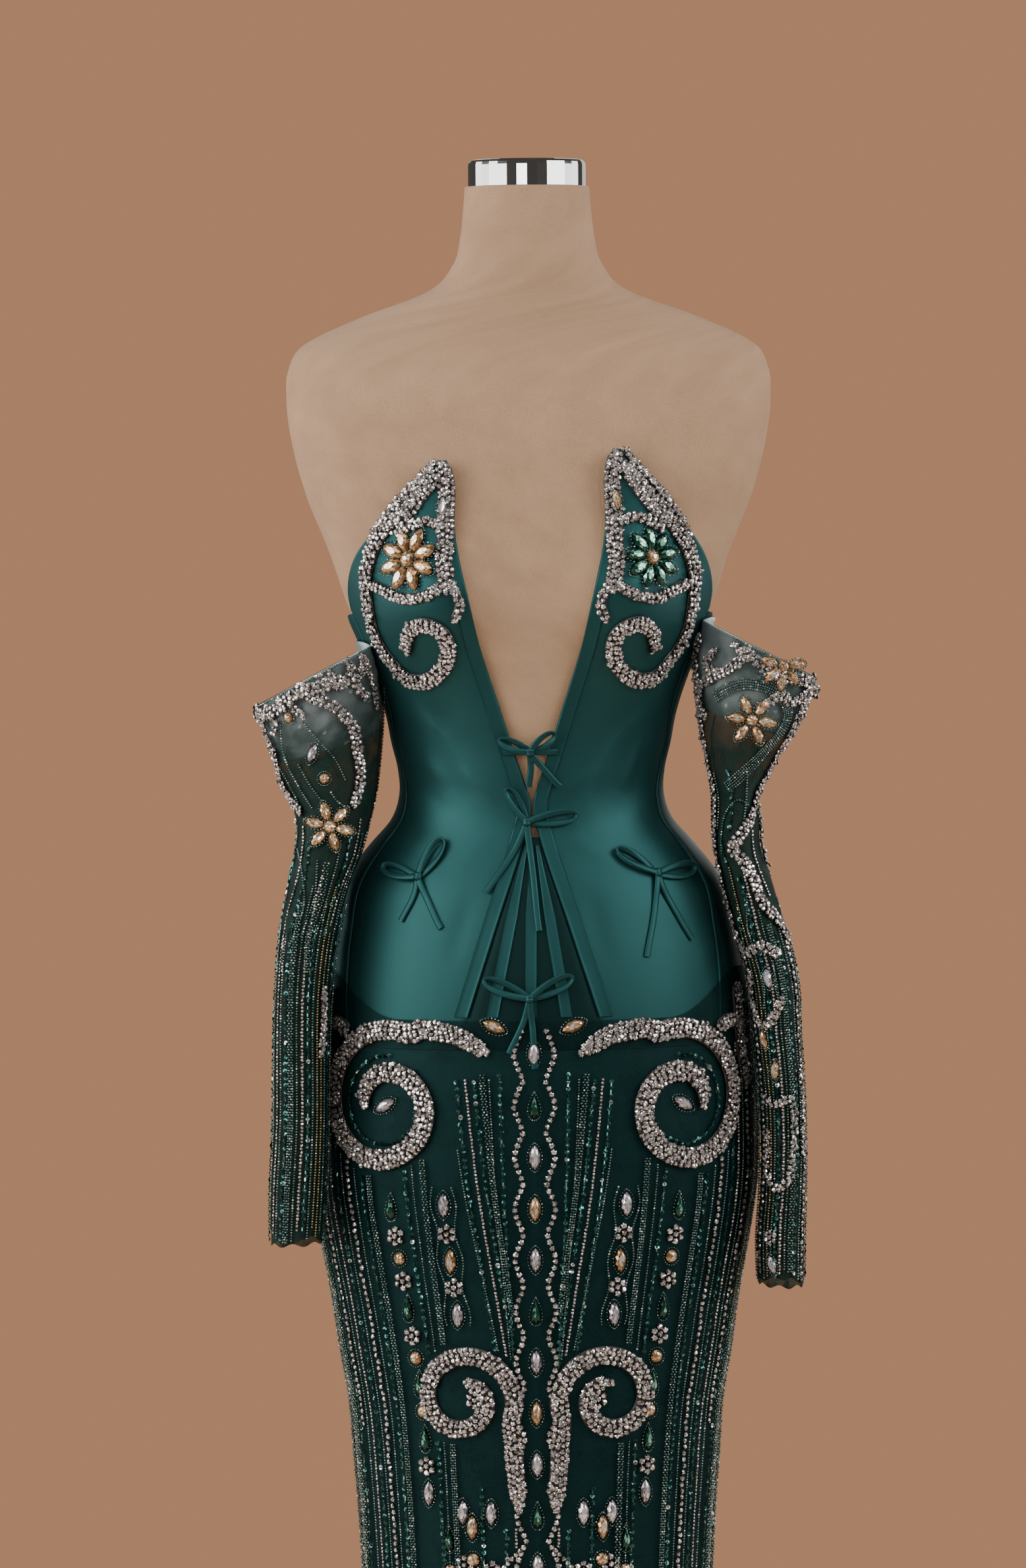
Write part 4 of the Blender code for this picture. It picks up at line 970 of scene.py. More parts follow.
def makeBandsAndRibbons():
    # Flat folded ribbons on the satin: the two edge bands follow the V, three more fan over the gusset.
    z = np.linspace(bandSettings["foot"], bandSettings["top"], bandSettings["rows"])[:, None]
    low = turnOfX(between(innerEdge, "x", z) * mm + seam / 2, z)
    turn = low + stepOf(low, z, bandSettings["width"]) * np.linspace(-0.06, 1, ribbonColumns)[None, :]
    turn, z = np.broadcast_arrays(turn, z)
    for side, word in ((-1, "left"), (1, "right")):
        grid = mirroredGrid(turn, z, side)
        layRibbon(
            "edgeBand" + word.title(), *grid, "edge_band_" + word, ["bodice_front_" + word, "front_gusset"],
        )
    z = np.linspace(ribbonSettings["foot"], ribbonSettings["top"], ribbonSettings["rows"])[:, None]
    gussetHalf = between(innerEdge, "x", z) * mm
    half = np.minimum(ribbonSettings["width"], ribbonSettings["most"] * gussetHalf) / 2
    for number, share in enumerate(ribbonSettings["shares"], 1):
        x = share * gussetHalf + half * np.linspace(-1, 1, ribbonColumns)[None, :]
        turn, height = np.broadcast_arrays(turnOfX(x, z), z)
        layRibbon(f"fanRibbon{number}", turn, height, f"fan_ribbon_{number}", ["front_gusset"])


def layRibbon(name, turn, z, node, restsOn):
    # A ribbon's wall: flat below, its profile above.
    base = layers["satinFace"] + 0.5 * mm
    rise = bandSettings["thick"] * ribbonProfile(turn.shape[1])[None, :]
    ripple = 0.12 * mm * np.sin(z * 130 + turn * 9)
    outer, inner = onBody(turn, z, base + rise + ripple), onBody(turn, z, base)
    part = clothWall(inner, outer, np.stack([turn * 0.1, z], -1), "ribbonSatin")
    declareSheet(makePiece(name, [part], [node], 60), outer)


def makeGusset():
    # The gusset fills the V between the fronts, from seam to seam, in a darker satin that paints the shade
    # under the ribbons.
    z = np.linspace(heights["hipSeam"] + seam / 2, gussetSettings["top"], gussetSettings["rows"])[:, None]
    edge = turnOfX(between(innerEdge, "x", z) * mm - seam / 2, z)
    turn, z = np.broadcast_arrays(edge * np.linspace(-1, 1, gussetSettings["columns"])[None, :], z)
    satinPanel("frontGusset", turn, z, ["front_gusset"], material="gussetShadedSatin")


makeBandsAndRibbons()
makeGusset()
print("bodice made")

# Skirt and overlay

skirtSettings = {
    "slitHalf": 5 * mm, "overlayTop": 0.8917, "sideRise": 36 * mm,
    "riseTurns": (math.radians(38), math.radians(72)),
    "rows": 92, "freeRows": 12, "freeBelow": 0.810,
}
skirtColumns = {"front": 89, "back_left": 45, "back_right": 45}
# Long soft folds of the hanging cloth: place and half width in degrees, height at the hem in mm
skirtFolds = (
    (-150, 13, 3.0), (-112, 10, -2.0), (-70, 12, 2.2), (-34, 10, -1.6), (4, 12, 1.4),
    (38, 10, -1.5), (74, 12, 2.2), (118, 11, -2.0), (152, 12, 3.0),
)


def skirtTurns(piece, z, columns):
    # Turns of a skirt piece from seam to seam, the backs drawn in from the slit.
    quarter = math.pi / 2
    if piece == "front":
        return np.linspace(-1, 1, columns)[None, :] * (quarter - stepOf(quarter, z, seam / 2))
    low = quarter + stepOf(quarter, z, seam / 2)
    opened = np.clip((heights["slitTop"] - z) / (heights["slitTop"] - heights["hem"]), 0, 1)
    slit = seam / 2 + skirtSettings["slitHalf"] * opened**1.4
    turn = low + np.linspace(0, 1, columns)[None, :] * (math.pi - stepOf(math.pi, z, slit) - low)
    return turn if piece == "back_right" else -turn[:, ::-1]


def foldHeight(turn, z):
    # Bells round the body that grow from nothing at the knee to their full height at the hem.
    grow = np.clip((0.62 - z) / 0.59, 0, 1) ** 1.2
    total = 0
    for degrees, wide, tall in skirtFolds:
        total = total + tall * mm * np.exp(-(((np.degrees(turn) - degrees) / wide) ** 2))
    return total * grow


def hangCloth(name, turn, z, layer, lift, finish, node):
    # A hanging wall on the body, as far out as its layer and its own lift.
    outer, inner = (onBody(turn, z, layers[layer + face] + lift) for face in ("Face", "Back"))
    part = clothWall(inner, outer, np.stack([arcOf(turn, z), z], -1), finish)
    declareSheet(makePiece(name, [part], [node], 45), outer)


def makeSkirt():
    # The satin skirt and the tulle over it share their points, the tulle further out and free at its top.
    s = skirtSettings
    for piece, columns in skirtColumns.items():
        word = piece.title().replace("_", "")
        z = np.linspace(heights["hem"], heights["hipSeam"] - seam / 2, s["rows"])[:, None]
        turn, z = np.broadcast_arrays(skirtTurns(piece, z, columns), z)
        fold = foldHeight(turn, z)
        hangCloth("skirt" + word, turn, z, "satin", fold, "satin", "skirt_" + piece)
        top = s["overlayTop"] + s["sideRise"] * ease(*s["riseTurns"], np.abs(turn[-1]))
        free = z[-1] + np.linspace(0, 1, s["freeRows"] + 1)[1:, None] * (top - z[-1])
        turn = np.concatenate([turn, np.repeat(turn[-1:], s["freeRows"], axis=0)])
        z, fold = np.concatenate([z, free]), np.concatenate([fold, np.zeros_like(free)])
        standOff = layers["overlayStandOff"] * ease(s["freeBelow"], heights["hipSeam"], z)
        ripple = 0.25 * mm * np.sin(np.degrees(turn) * 0.45) * ease(0.86, 0.892, z)
        lift = standOff + fold + ripple
        hangCloth(
            "overlay" + word, turn, z, "overlay", lift, "skirtTulle", "overlay_" + piece,
        )


makeSkirt()
print("skirt made")

# Narrow satin tube tied in bows

tubeSettings = {"wide": 5.2 * mm, "thick": 1.9 * mm, "sides": 10, "knot": 4.2 * mm, "knotThick": 3.0 * mm}
bowPoints = {"loop": 42, "tail": 28, "tie": 20, "knotRows": 15, "knotColumns": 20}


def throughKnots(knots, perSpan):
    # A smooth curve through a few points: cubic spans whose slopes come from the neighbouring points.
    p = np.array([knots[0], *knots, knots[-1]], float)
    a, b, c, d = (p[i:len(p) - 3 + i, None, :] for i in range(4))
    t = (np.arange(perSpan) / perSpan)[None, :, None]
    curve = 0.5 * (
        2 * b + (c - a) * t + (2 * a - 5 * b + 4 * c - d) * t**2 + (3 * b - a - 3 * c + d) * t**3
    )
    return np.concatenate([curve.reshape(-1, p.shape[1]), p[-2:-1]])


def flatTube(centre, normal, twist):
    # An oval carried along a path, its flat side to the surface below, closed by a face at each end.
    wide, thick, sides = (tubeSettings[size] for size in ("wide", "thick", "sides"))
    along = unit(np.gradient(centre, axis=0))
    across = unit(np.cross(along, normal))
    normal = np.cross(across, along)
    c, s = np.cos(twist)[..., None], np.sin(twist)[..., None]
    across, normal = across * c + normal * s, normal * c - across * s
    angle = np.linspace(0, 2 * math.pi, sides + 1)[:-1]
    x = np.sign(np.cos(angle)) * np.abs(np.cos(angle)) ** 0.7 * wide / 2
    y = np.sin(angle) * thick / 2
    points = centre[:, None] + across[:, None] * x[:, None] + normal[:, None] * y[:, None]
    uv = np.stack(np.broadcast_arrays(angle[None, :] * wide / 6, distances(centre)[:, None]), -1)
    faces = [quadsOf(len(centre), sides, True)[:, ::-1], endFaces(len(centre), sides)]
    return {"points": points, "faces": faces, "uv": uv.reshape(-1, 2), "material": "ribbonSatin"}


def knotPart(place, normal, up, size):
    # A small wrapped knot: an oval ball with three ridges round it.
    rows, columns = bowPoints["knotRows"], bowPoints["knotColumns"]
    v = np.linspace(0.0, math.pi, rows)[:, None, None]
    u = np.linspace(0, 2 * math.pi, columns + 1)[None, :-1, None]
    ridge = 1 + 0.10 * np.cos(6 * v)
    x, y, z = np.sin(v) * np.cos(u) * ridge, np.sin(v) * np.sin(u) * ridge, np.cos(v)
    points = place + x * np.cross(up, normal) * size[0] + y * normal * size[1] + z * up * size[2]
    return {"points": points, "faces": [quadsOf(rows, columns, True)[:, ::-1]], "material": "ribbonSatin"}


# In mm, each bow's knot (across, z), loops (degrees, length, spread), tails (across, drop) and half tie
bowSettings = {
    "bowUpper": {
        "node": "bow_upper", "place": (-1, 1105), "over": "band", "tie": 21,
        "loops": ((156, 25, 38), (40, 24, 50)), "tails": ((0, -28), (24, -28)),
    },
    "bowMiddle": {
        "node": "bow_middle", "place": (-4, 1048), "over": "band", "tie": 0,
        "loops": ((117, 31, 32), (8, 38, 36)), "tails": ((-31, -56), (10, -86)),
    },
    "bowLower": {
        "node": "bow_lower", "place": (-3, 909), "over": "overlay", "tie": 0,
        "loops": ((158, 37, 34), (26, 36, 36)), "tails": ((-15, -43), (5, -55)),
    },
    "bowHipLeft": {
        "node": "bow_hip_left", "place": (-92, 1003), "over": "satin", "tie": 0,
        "loops": ((170, 34, 36), (54, 36, 38)), "tails": ((-15, -34), (20, -39)),
    },
    "bowHipRight": {
        "node": "bow_hip_right", "place": (102, 1004), "over": "satin", "tie": 0,
        "loops": ((150, 40, 30), (2, 38, 32)), "tails": ((-9, -64), (34, -52)),
    },
}
# How far out the cloth or band below a bow lies
bowBases = {
    name: layers["satinFace"] + rise * mm for name,
    rise in (("satin", 0.5), ("band", 2.0), ("overlay", 3.0))
}


def tubeOn(arc, z, out, twist=0.0):
    # A flat tube along a path over the dress.
    return flatTube(onDress(arc, z, out), outward(turnOfArc(arc, z), z), np.asarray(twist, float))


def makeBows():
    # Each loop leaves the knot, swings out in a petal and comes back over itself, and each tail hangs.
    thick, knotWide, knotThick = (tubeSettings[size] for size in ("thick", "knot", "knotThick"))
    for name, s in bowSettings.items():
        base = bowBases[s["over"]]
        x0, z0 = np.array(s["place"]) * mm
        low = base + thick / 2
        high = low + 1.6 * thick
        middle = base + knotThick + 0.2 * mm
        turn0 = turnOfArc([x0], [z0])
        normal = outward(turn0, z0)[0]
        up = unit(np.array([0, 0, 1.0]) - normal * normal[2])
        parts = [knotPart(onBody(turn0, z0, middle)[0], normal, up, (knotWide * 0.85, knotThick, knotWide))]
        for direction, length, spreadDegrees in s["loops"]:
            t = np.linspace(0.012, 0.988, bowPoints["loop"])
            swing = np.sin(math.pi * t)
            angle = np.radians(direction + spreadDegrees * (t - 0.5))
            reach = length * mm * swing**0.85
            out = low + (high - low) * ease(0.3, 1.0, t) + 1.8 * mm * swing
            parts.append(
                tubeOn(x0 + reach * np.cos(angle), z0 + reach * np.sin(angle), out, 0.9 * swing**2)
            )
        for across, drop in s["tails"]:
            t = np.linspace(0.02, 1, bowPoints["tail"])
            x = x0 + across * mm * t**1.25 + 1.2 * mm * np.sin(t * 5) * t
            parts.append(tubeOn(x, z0 + drop * mm * t, middle + (low - middle) * ease(0, 0.4, t)))
        if s["tie"]:
            t = np.linspace(-1, 1, bowPoints["tie"])
            parts.append(tubeOn(x0 + s["tie"] * mm * t, z0 + 0 * t, low + 0 * t))
        makePiece(name, parts, [s["node"]], 70)


makeBows()
print("bows made")

# Sleeves

# Each sleeve's table, the angle that faces away from the body, and its creases: z, slope, side, mm high
sleeveSettings = {
    "Left": {
        "table": sleeveLeft, "away": math.pi, "node": "left",
        "folds": (
            (0.86, 0.5, 3.2, 1.1), (0.80, -0.6, 2.6, 1.0), (0.96, 0.4, 3.6, 1.4), (1.02, -0.5, 3.0, 1.2),
        ),
    },
    "Right": {
        "table": sleeveRight, "away": 0.0, "node": "right",
        "folds": (
            (0.84, -0.5, 0.3, 1.1), (0.76, 0.5, -0.4, 1.0), (0.95, -0.4, 0.2, 1.4), (1.03, 0.5, -0.5, 1.2),
        ),
    },
}
sleeveCloth = {
    "thick": 0.6 * mm, "facingDeep": 62 * mm, "facingIn": 1.9 * mm, "rows": 118, "facingRows": 26,
    "columns": 60,
}


def sleeveFold(angle, z, folds):
    # Slanting creases: a bell across each slanted ring, strongest at one side of the arm.
    total = 0
    for z0, slope, side, tall in folds:
        away = (z - z0) - slope * 0.03 * np.cos(angle - side)
        total = total + tall * mm * np.exp(-((away / 0.010) ** 2)) * (0.5 + 0.5 * np.cos(angle - side))
    return total


def sleeveLayer(name, table, angle, z, out, scale, finish, node):
    # One closed wall round the arm, its outer face that far out of the sleeve's surface.
    angle, z = np.broadcast_arrays(angle, z)
    outer, inner = sleevePoint(table, angle, z, out), sleevePoint(
        table, angle, z, out - sleeveCloth["thick"],
    )
    part = clothWall(inner, outer, np.stack([angle * scale, z], -1), finish, True)
    declareSheet(makePiece(name, [part], [node]), outer, True)


def makeSleeves():
    # A tulle tube, an organza facing inside its mouth, both closed round the arm and open at their ends.
    angle = np.linspace(0, 2 * math.pi, sleeveCloth["columns"] + 1)[None, :-1]
    for word, s in sleeveSettings.items():
        table, node = s["table"], s["node"]
        foot, mouth = table["rows"][0][0] * mm, table["rows"][-1][0] * mm
        z = np.linspace(foot, mouth, sleeveCloth["rows"])[:, None]
        faded = ease(foot, foot + 0.03, z) * (1 - ease(mouth - 0.08, mouth - 0.03, z))
        ragged = 1.5 * mm * np.sin(angle * 7 + 1) * (1 - ease(foot, foot + 0.012, z))
        out = sleeveFold(angle, z, s["folds"]) * faded - 0.2 * mm
        sleeveLayer(
            "sleeveTube" + word, table, angle, z + ragged, out, 0.035, "sleeveTulle", "sleeve_" + node,
        )
        foot = mouth - sleeveCloth["facingDeep"]
        z = np.linspace(foot, mouth - 0.5 * mm, sleeveCloth["facingRows"])[:, None]
        crease = 0.7 * mm * np.sin(angle * 5 + z * 160) + 0.5 * mm * np.sin(angle * 9 - z * 210)
        out = crease * ease(mouth, mouth - 0.02, z) - sleeveCloth["facingIn"]
        name, cut = "sleeveFacing" + word, "sleeve_facing_" + node
        sleeveLayer(name, table, angle, z, out, 0.045, "organza", cut)


makeSleeves()
print("sleeves made")

# Beads and stones

def ringAngles(sides):
    # Even angles round a ring, the first at 0.
    return np.arange(sides) * 2 * math.pi / sides


def stoneShape(outline, table, tall, girdle=0.25):
    # A cut stone in its cup: a flat back, the cup's ring, two rings of facets turned against each other,
    # and a fan of facets for the table.
    n = len(outline)
    half = (outline + np.roll(outline, -1, axis=0)) / 2 * (1 + table) / 2 * 1.04
    levels = (
        (outline, 0), (outline, girdle * tall), (half, tall * 0.72), (outline * table, tall),
        ([[0, 0]], tall * 1.03),
    )
    points = np.concatenate([np.c_[ring, np.full(len(ring), height)] for ring, height in levels])
    i = np.arange(n)
    h, j, middle = (i - 1) % n, (i + 1) % n, np.full(n, 4 * n)
    girdleFaces = np.stack([i, j, j + n, i + n], -1)
    facets = (
        (i + n, j + n, i + 2 * n), (i + n, i + 2 * n, h + 2 * n), (i + 2 * n, j + 3 * n, i + 3 * n),
        (i + 2 * n, i + 3 * n, h + 2 * n), (i + 3 * n, j + 3 * n, middle),
    )
    crown = np.concatenate([np.stack(facet, -1) for facet in facets])
    return points, [girdleFaces, crown, np.array([i[::-1]])]


def smallStone(sides):
    # A little round stone in its cup: the cup's ring, facets from the girdle to the table, a flat back.
    angle = ringAngles(sides)
    ring, turned = (np.stack([np.cos(a), np.sin(a)], -1) for a in (angle, angle + math.pi / sides))
    levels = ((ring * 0.44, 0), (ring * 0.5, 0.22), (turned * 0.29, 0.44), ([[0, 0]], 0.46))
    points = np.concatenate([np.c_[level, np.full(len(level), height)] for level, height in levels])
    i = np.arange(sides)
    j = (i + 1) % sides
    cup = np.stack([i, j, j + sides, i + sides], -1)
    facets = (
        (i, j, i + sides), (i + sides, j, j + sides), (i + sides, j + sides, np.full(sides, 2 * sides)),
    )
    crown = np.concatenate([np.stack(facet, -1) for facet in facets]) + sides
    return points, [cup, crown, np.array([i[::-1]])]


def ovalOutline(sides, wide, tall, point=1.0):
    # An outline by angle: an ellipse, drawn out to points at both ends when point is above 1.
    a = ringAngles(sides)
    return np.stack([np.cos(a) * tall, np.sin(a) * np.abs(np.sin(a)) ** (point - 1) * wide], -1)


def dropOutline(sides, wide, tall):
    # A teardrop: its width fades towards the point by the half-angle sine.
    a = ringAngles(sides)
    return np.stack([np.cos(a) * tall, np.sin(a) * np.sin(a / 2) ** 1.4 * wide * 1.25], -1)


def ballShape():
    # A small bead: eight faces about six points.
    points = np.concatenate([np.eye(3), -np.eye(3)])[[0, 3, 1, 4, 2, 5]] * 0.5
    return points, [
        np.array([[0, 2, 4], [2, 1, 4], [1, 3, 4], [3, 0, 4], [2, 0, 5], [1, 2, 5], [3, 1, 5], [0, 3, 5]])
    ]


def discShape(sides=7):
    # A sequin: a shallow cup of triangles about a low middle.
    a, i = ringAngles(sides), np.arange(sides)
    points = np.concatenate([np.c_[np.cos(a) * 0.5, np.sin(a) * 0.5, np.full(sides, 0.09)], [[0, 0, 0.0]]])
    return points, [np.stack([i, (i + 1) % sides, np.full(sides, sides)], -1)]


def bugleShape(sides=4):
    # A short four-sided tube along x.
    a, i = ringAngles(sides), np.arange(sides)
    ring = np.stack([np.cos(a) * 0.5, np.sin(a) * 0.5], -1)
    points = np.concatenate([np.c_[np.full(sides, end), ring] for end in (-0.5, 0.5)])
    j = (i + 1) % sides
    return points, [np.stack([i, i + sides, j + sides, j], -1), np.array([i[::-1]]), np.array([i + sides])]


# Stones by their half width and half length in mm, beads and small stones by a width of 1
shapes = {
    "stone": smallStone(6),
    "chip": smallStone(5),
    "marquise": stoneShape(ovalOutline(10, 3.9, 8.0, 1.5), 0.50, 3.2),
    "drop": stoneShape(dropOutline(10, 3.9, 7.6), 0.50, 3.2),
    "rivoli": stoneShape(ovalOutline(12, 4.2, 4.2), 0.30, 3.2),
    "petal": stoneShape(ovalOutline(10, 3.9, 7.0, 1.3), 0.45, 3.2),
    "ball": ballShape(),
    "disc": discShape(),
    "bugle": bugleShape(),
}
# Painted highlight and shade on each facet of a cut shape, from the girdle to the table: dark outer facets
# and a bright table stand in for the light a real stone reflects
facetPaintedLight = {
    "stone": np.tile([[0.03, 0.30], [0.86, 0.30], [1.00, 0.72]], (1, 3)).ravel(),
    "chip": np.repeat([0.12, 0.44, 0.86], 5),
    "marquise": np.repeat([0.14, 0.42, 0.24, 0.70, 0.94], 10),
    "drop": np.repeat([0.12, 0.38, 0.20, 0.64, 0.88], 10),
    "petal": np.repeat([0.20, 0.50, 0.30, 0.74, 0.94], 10),
    "rivoli": np.repeat([0.25, 0.50, 0.30, 0.75, 0.95], 12),
}
# The steps over which a surface's directions are taken: metres on the dress, radians and metres on a sleeve
dressSteps = (0.002, 0.002)
sleeveSteps = (0.03, 0.002)


def flatTo(vectors, normal):
    # Vectors laid flat to a surface, at unit length.
    return unit(vectors - normal * (vectors * normal).sum(-1, keepdims=True))


def spotsOn(chart, u, v, out, steps=dressSteps):
    # Places on a surface with their normals, from its steps in both directions.
    p = chart(u, v, out)
    a = chart(u + steps[0], v, out) - chart(u - steps[0], v, out)
    b = chart(u, v + steps[1], out) - chart(u, v - steps[1], out)
    normal = unit(np.cross(a, b))
    up = flatTo(b, normal)
    return {"p": p, "x": up, "y": np.cross(normal, up), "n": normal, "u": u, "v": v}


def alongPath(chart, knots, spacing, out, steps=dressSteps, perSpan=16, keep=None):
    # Evenly spaced places along a smooth path, with x along the path, and only those that keep allows.
    line = throughKnots(knots, perSpan)
    length = distances(chart(line[:, 0], line[:, 1], out))
    count = max(int(length[-1] / spacing), 2)
    at = (np.arange(count) + 0.5) / count * length[-1]
    u, v = (np.interp(at, length, line[:, k]) for k in range(2))
    spots = spotsOn(chart, u, v, out, steps)
    along = flatTo(unit(np.gradient(spots["p"], axis=0)), spots["n"])
    spots["x"], spots["y"] = along, np.cross(spots["n"], along)
    spots["share"] = at / length[-1]
    return pick(spots, keep(u, v)) if keep else spots


def pick(spots, keep):
    # The spots that a mask or a list of indices keeps.
    return {key: value[keep] for key, value in spots.items()}


def nudge(spots, x=0.0, y=0.0, n=0.0):
    # The spots moved along their own axes.
    x, y, n = (np.asarray(step)[..., None] for step in (x, y, n))
    return {**spots, "p": spots["p"] + spots["x"] * x + spots["y"] * y + spots["n"] * n}


def turnSpots(spots, angle):
    # The spots turned about their normals.
    c, s = np.cos(angle)[..., None], np.sin(angle)[..., None]
    return {**spots, "x": spots["x"] * c + spots["y"] * s, "y": spots["y"] * c - spots["x"] * s}


def joinSpots(several):
    # Several sets of spots as one.
    return {key: np.concatenate([s[key] for s in several]) for key in several[0]}


def ringed(spots, x, y, n):
    # Each spot repeated round a ring whose places are given by x and y.
    many = {key: np.repeat(value, len(x), axis=0) for key, value in spots.items()}
    rounds = len(spots["p"])
    return nudge(many, np.tile(x, rounds), np.tile(y, rounds), n)


def copies(shape, spots, size, material, tilt=0.0, spin=False, smooth=False, tints=None, stretch=(1, 1, 1)):
    # One shape set down at every spot, scaled, leaning by a little chance, each copy with its own tint.
    # A cut shape's cup is dark, and its facets carry painted highlights and shade, varied by a painted
    # sparkle.
    points, faces = shapes[shape]
    count = len(spots["p"])
    if spin:
        spots = turnSpots(spots, chance.uniform(0, 2 * math.pi, count))
    x, y, n = spots["x"], spots["y"], spots["n"]
    if tilt:
        n = unit(n + x * chance.normal(0, tilt, (count, 1)) + y * chance.normal(0, tilt, (count, 1)))
        x = flatTo(x, n)
        y = np.cross(n, x)
    size = np.broadcast_to(np.asarray(size, float), (count,))
    local = points * np.array(stretch) * size[:, None, None]
    along, across, up = (local[..., k:k + 1] for k in range(3))
    placed = spots["p"][:, None] + along * x[:, None] + across * y[:, None] + up * n[:, None]
    start = np.arange(count) * len(points)
    allFaces = [(f[None] + start[:, None, None]).reshape(-1, f.shape[1]) for f in faces]
    tints = chance.uniform(0, 1, count) if tints is None else tints
    perFace = [np.repeat(tints, len(f)) for f in faces]
    if shape in facetPaintedLight:
        light = np.tile(facetPaintedLight[shape], count)
        # Painted sparkle: each facet's colour made lighter or darker by chance, standing in for glints
        paintedSparkle = chance.uniform(-0.4, 0.4, len(light)) * (0.35 + light)
        perFace[1] = np.clip(light + 0.25 * (perFace[1] - 0.5) + paintedSparkle, 0, 1)
        perFace[0][:] = -1
    return {"points": placed, "faces": allFaces, "tints": perFace, "material": material, "smooth": smooth}


def volute(centre, startRadius, endRadius, startDegrees, sweepDegrees, count):
    # A spiral whose radius shrinks evenly as it turns.
    share = np.linspace(0, 1, count)
    angle = np.radians(startDegrees + sweepDegrees * share)
    radius = startRadius + (endRadius - startRadius) * share
    return np.stack([centre[0] + radius * np.cos(angle), centre[1] + radius * np.sin(angle)], axis=1)


def crust(
    chart, knots, half, base, size=4.8 * mm, crown=1.4 * mm, steps=dressSteps, perSpan=8, backed=True,
):
    # Close-set stones along a path: rows side by side on a low crown, each shifted and leaning by chance,
    # a few more on top of them, over a dark backing.
    spine = alongPath(chart, knots, 1.0 * mm, base, steps, perSpan)
    lanes = max(int(round(2 * half / (size * 0.84))), 1)
    gap = size * 0.94
    narrow = pathEnds(spine, 0.05)
    laneSpots = []
    for lane in range(lanes):
        t = (lane + 0.5) / lanes * 2 - 1
        whole = nudge(spine, 0, t * (half - size * 0.34) * narrow, crown * (1 - t * t))
        length = distances(whole["p"])
        at = np.arange((0.5 if lane % 2 else 0) * gap, length[-1], gap)
        chosen = pick(whole, np.searchsorted(length, at).clip(0, len(length) - 1))
        count = len(at)
        x, y = chance.normal(0, 0.10, count), chance.normal(0, 0.09, count)
        n = chance.uniform(0.0, 0.2, count)
        laneSpots.append(nudge(chosen, x * size, y * size, n * size))
    spots = joinSpots(laneSpots)
    count = len(spots["p"])
    parts = [
        copies("stone", spots, size * chance.uniform(0.92, 1.06, count), "crystal", tilt=0.14, spin=True)
    ]
    upper = pick(spots, np.arange(2, count, 7))
    count = len(upper["p"])
    x, y = chance.uniform(0.3, 0.7, count), chance.uniform(-0.3, 0.3, count)
    upper = nudge(upper, size * x, size * y, size * 0.40)
    parts.append(copies("stone", upper, size * 0.86, "crystal", tilt=0.22, spin=True))
    if backed:
        parts.append(backingStrip(chart, knots, half * 0.84, base, crown, steps, perSpan))
    return parts


def pathEnds(spine, least):
    # Full width along a path, rounded off at its two ends.
    return np.sqrt(np.clip(1 - np.abs(spine["share"] * 2 - 1) ** 14, least, 1))


def backingStrip(chart, knots, half, base, crown, steps, perSpan):
    # The padded strip below the stones: a low arch carried along the path.
    spine = alongPath(chart, knots, 3.0 * mm, base, steps, perSpan)
    t = np.linspace(-1, 1, 7)[::-1, None]
    narrow = pathEnds(spine, 0.03)[:, None, None]
    flat = spine["p"][:, None] + spine["y"][:, None] * t * half * narrow
    top = flat + spine["n"][:, None] * (crown * 0.85 * (1 - t**4) + 0.15 * mm)
    return clothWall(flat, top, np.zeros((*top.shape[:2], 2)), "backing")


# The ring of beads round a set stone: half width and half length in mm, and beads
stoneRings = {"rivoli": (5.6, 5.6, 20), "marquise": (5.0, 9.8, 26), "drop": (5.0, 9.8, 26)}
slimRing = (4.9, 9.6, 26)


def framedStone(chart, places, shape, material, out, size=1.0, steps=dressSteps, ring=None):
    # Set stones with a ring of small beads round each: places are (across, z, degrees).
    places = np.array(places, float)
    spots = turnSpots(spotsOn(chart, places[:, 0], places[:, 1], out, steps), np.radians(places[:, 2]))
    wide, tall, count = ring or stoneRings[shape]
    a = ringAngles(count)
    x, y = np.cos(a) * tall, np.sin(a) * np.abs(np.sin(a)) ** 0.45 * wide
    if shape == "rivoli":
        y = np.sin(a) * wide
    if shape == "drop":
        y = np.sin(a) * np.abs(np.sin(a / 2)) * wide * 1.15
    parts = [copies(shape, spots, mm * size, material)]
    many = ringed(spots, x * mm * size, y * mm * size, 0.7 * mm)
    return parts + [copies("ball", many, 1.75 * mm, "ropeBead", smooth=True)]


def rosette(chart, places, out, size=5.0 * mm, steps=dressSteps):
    # Six round stones about a seventh.
    places = np.array(places, float)
    spots = spotsOn(chart, places[:, 0], places[:, 1], out, steps)
    a = ringAngles(6)
    many = ringed(spots, np.cos(a) * size * 0.98, np.sin(a) * size * 0.98, 0.2 * mm)
    parts = [copies("stone", many, size, "crystal", tilt=0.2, spin=True)]
    return parts + [copies("stone", nudge(spots, n=1.0 * mm), size * 0.9, "crystal", tilt=0.1)]


ropeSettings = {"wide": 1.9 * mm, "bead": 2.15 * mm, "pitch": 13 * mm}


def beadRope(
    chart, knots, out, keep=None, strands=1, steps=dressSteps, bead=2.25 * mm, material="ropeBead",
    aside=0.0,
):
    # Small beads along a path. Several strands wind round one another: each one's place across and up is
    # a cosine and a sine of the length.
    spine = alongPath(chart, knots, bead * 0.97, out + bead * 0.5, steps, keep=keep)
    wide = ropeSettings["wide"] if strands > 1 else 0.0
    parts = []
    if len(spine["p"]) < 3:
        return parts
    for strand in range(strands):
        phase = (np.arange(len(spine["p"])) * bead / ropeSettings["pitch"] + strand / strands) * 2 * math.pi
        moved = nudge(spine, 0, aside + wide * np.cos(phase), wide * 0.55 * (1 + np.sin(phase)))
        parts.append(copies("ball", moved, bead * 1.08, material, smooth=True))
    return parts


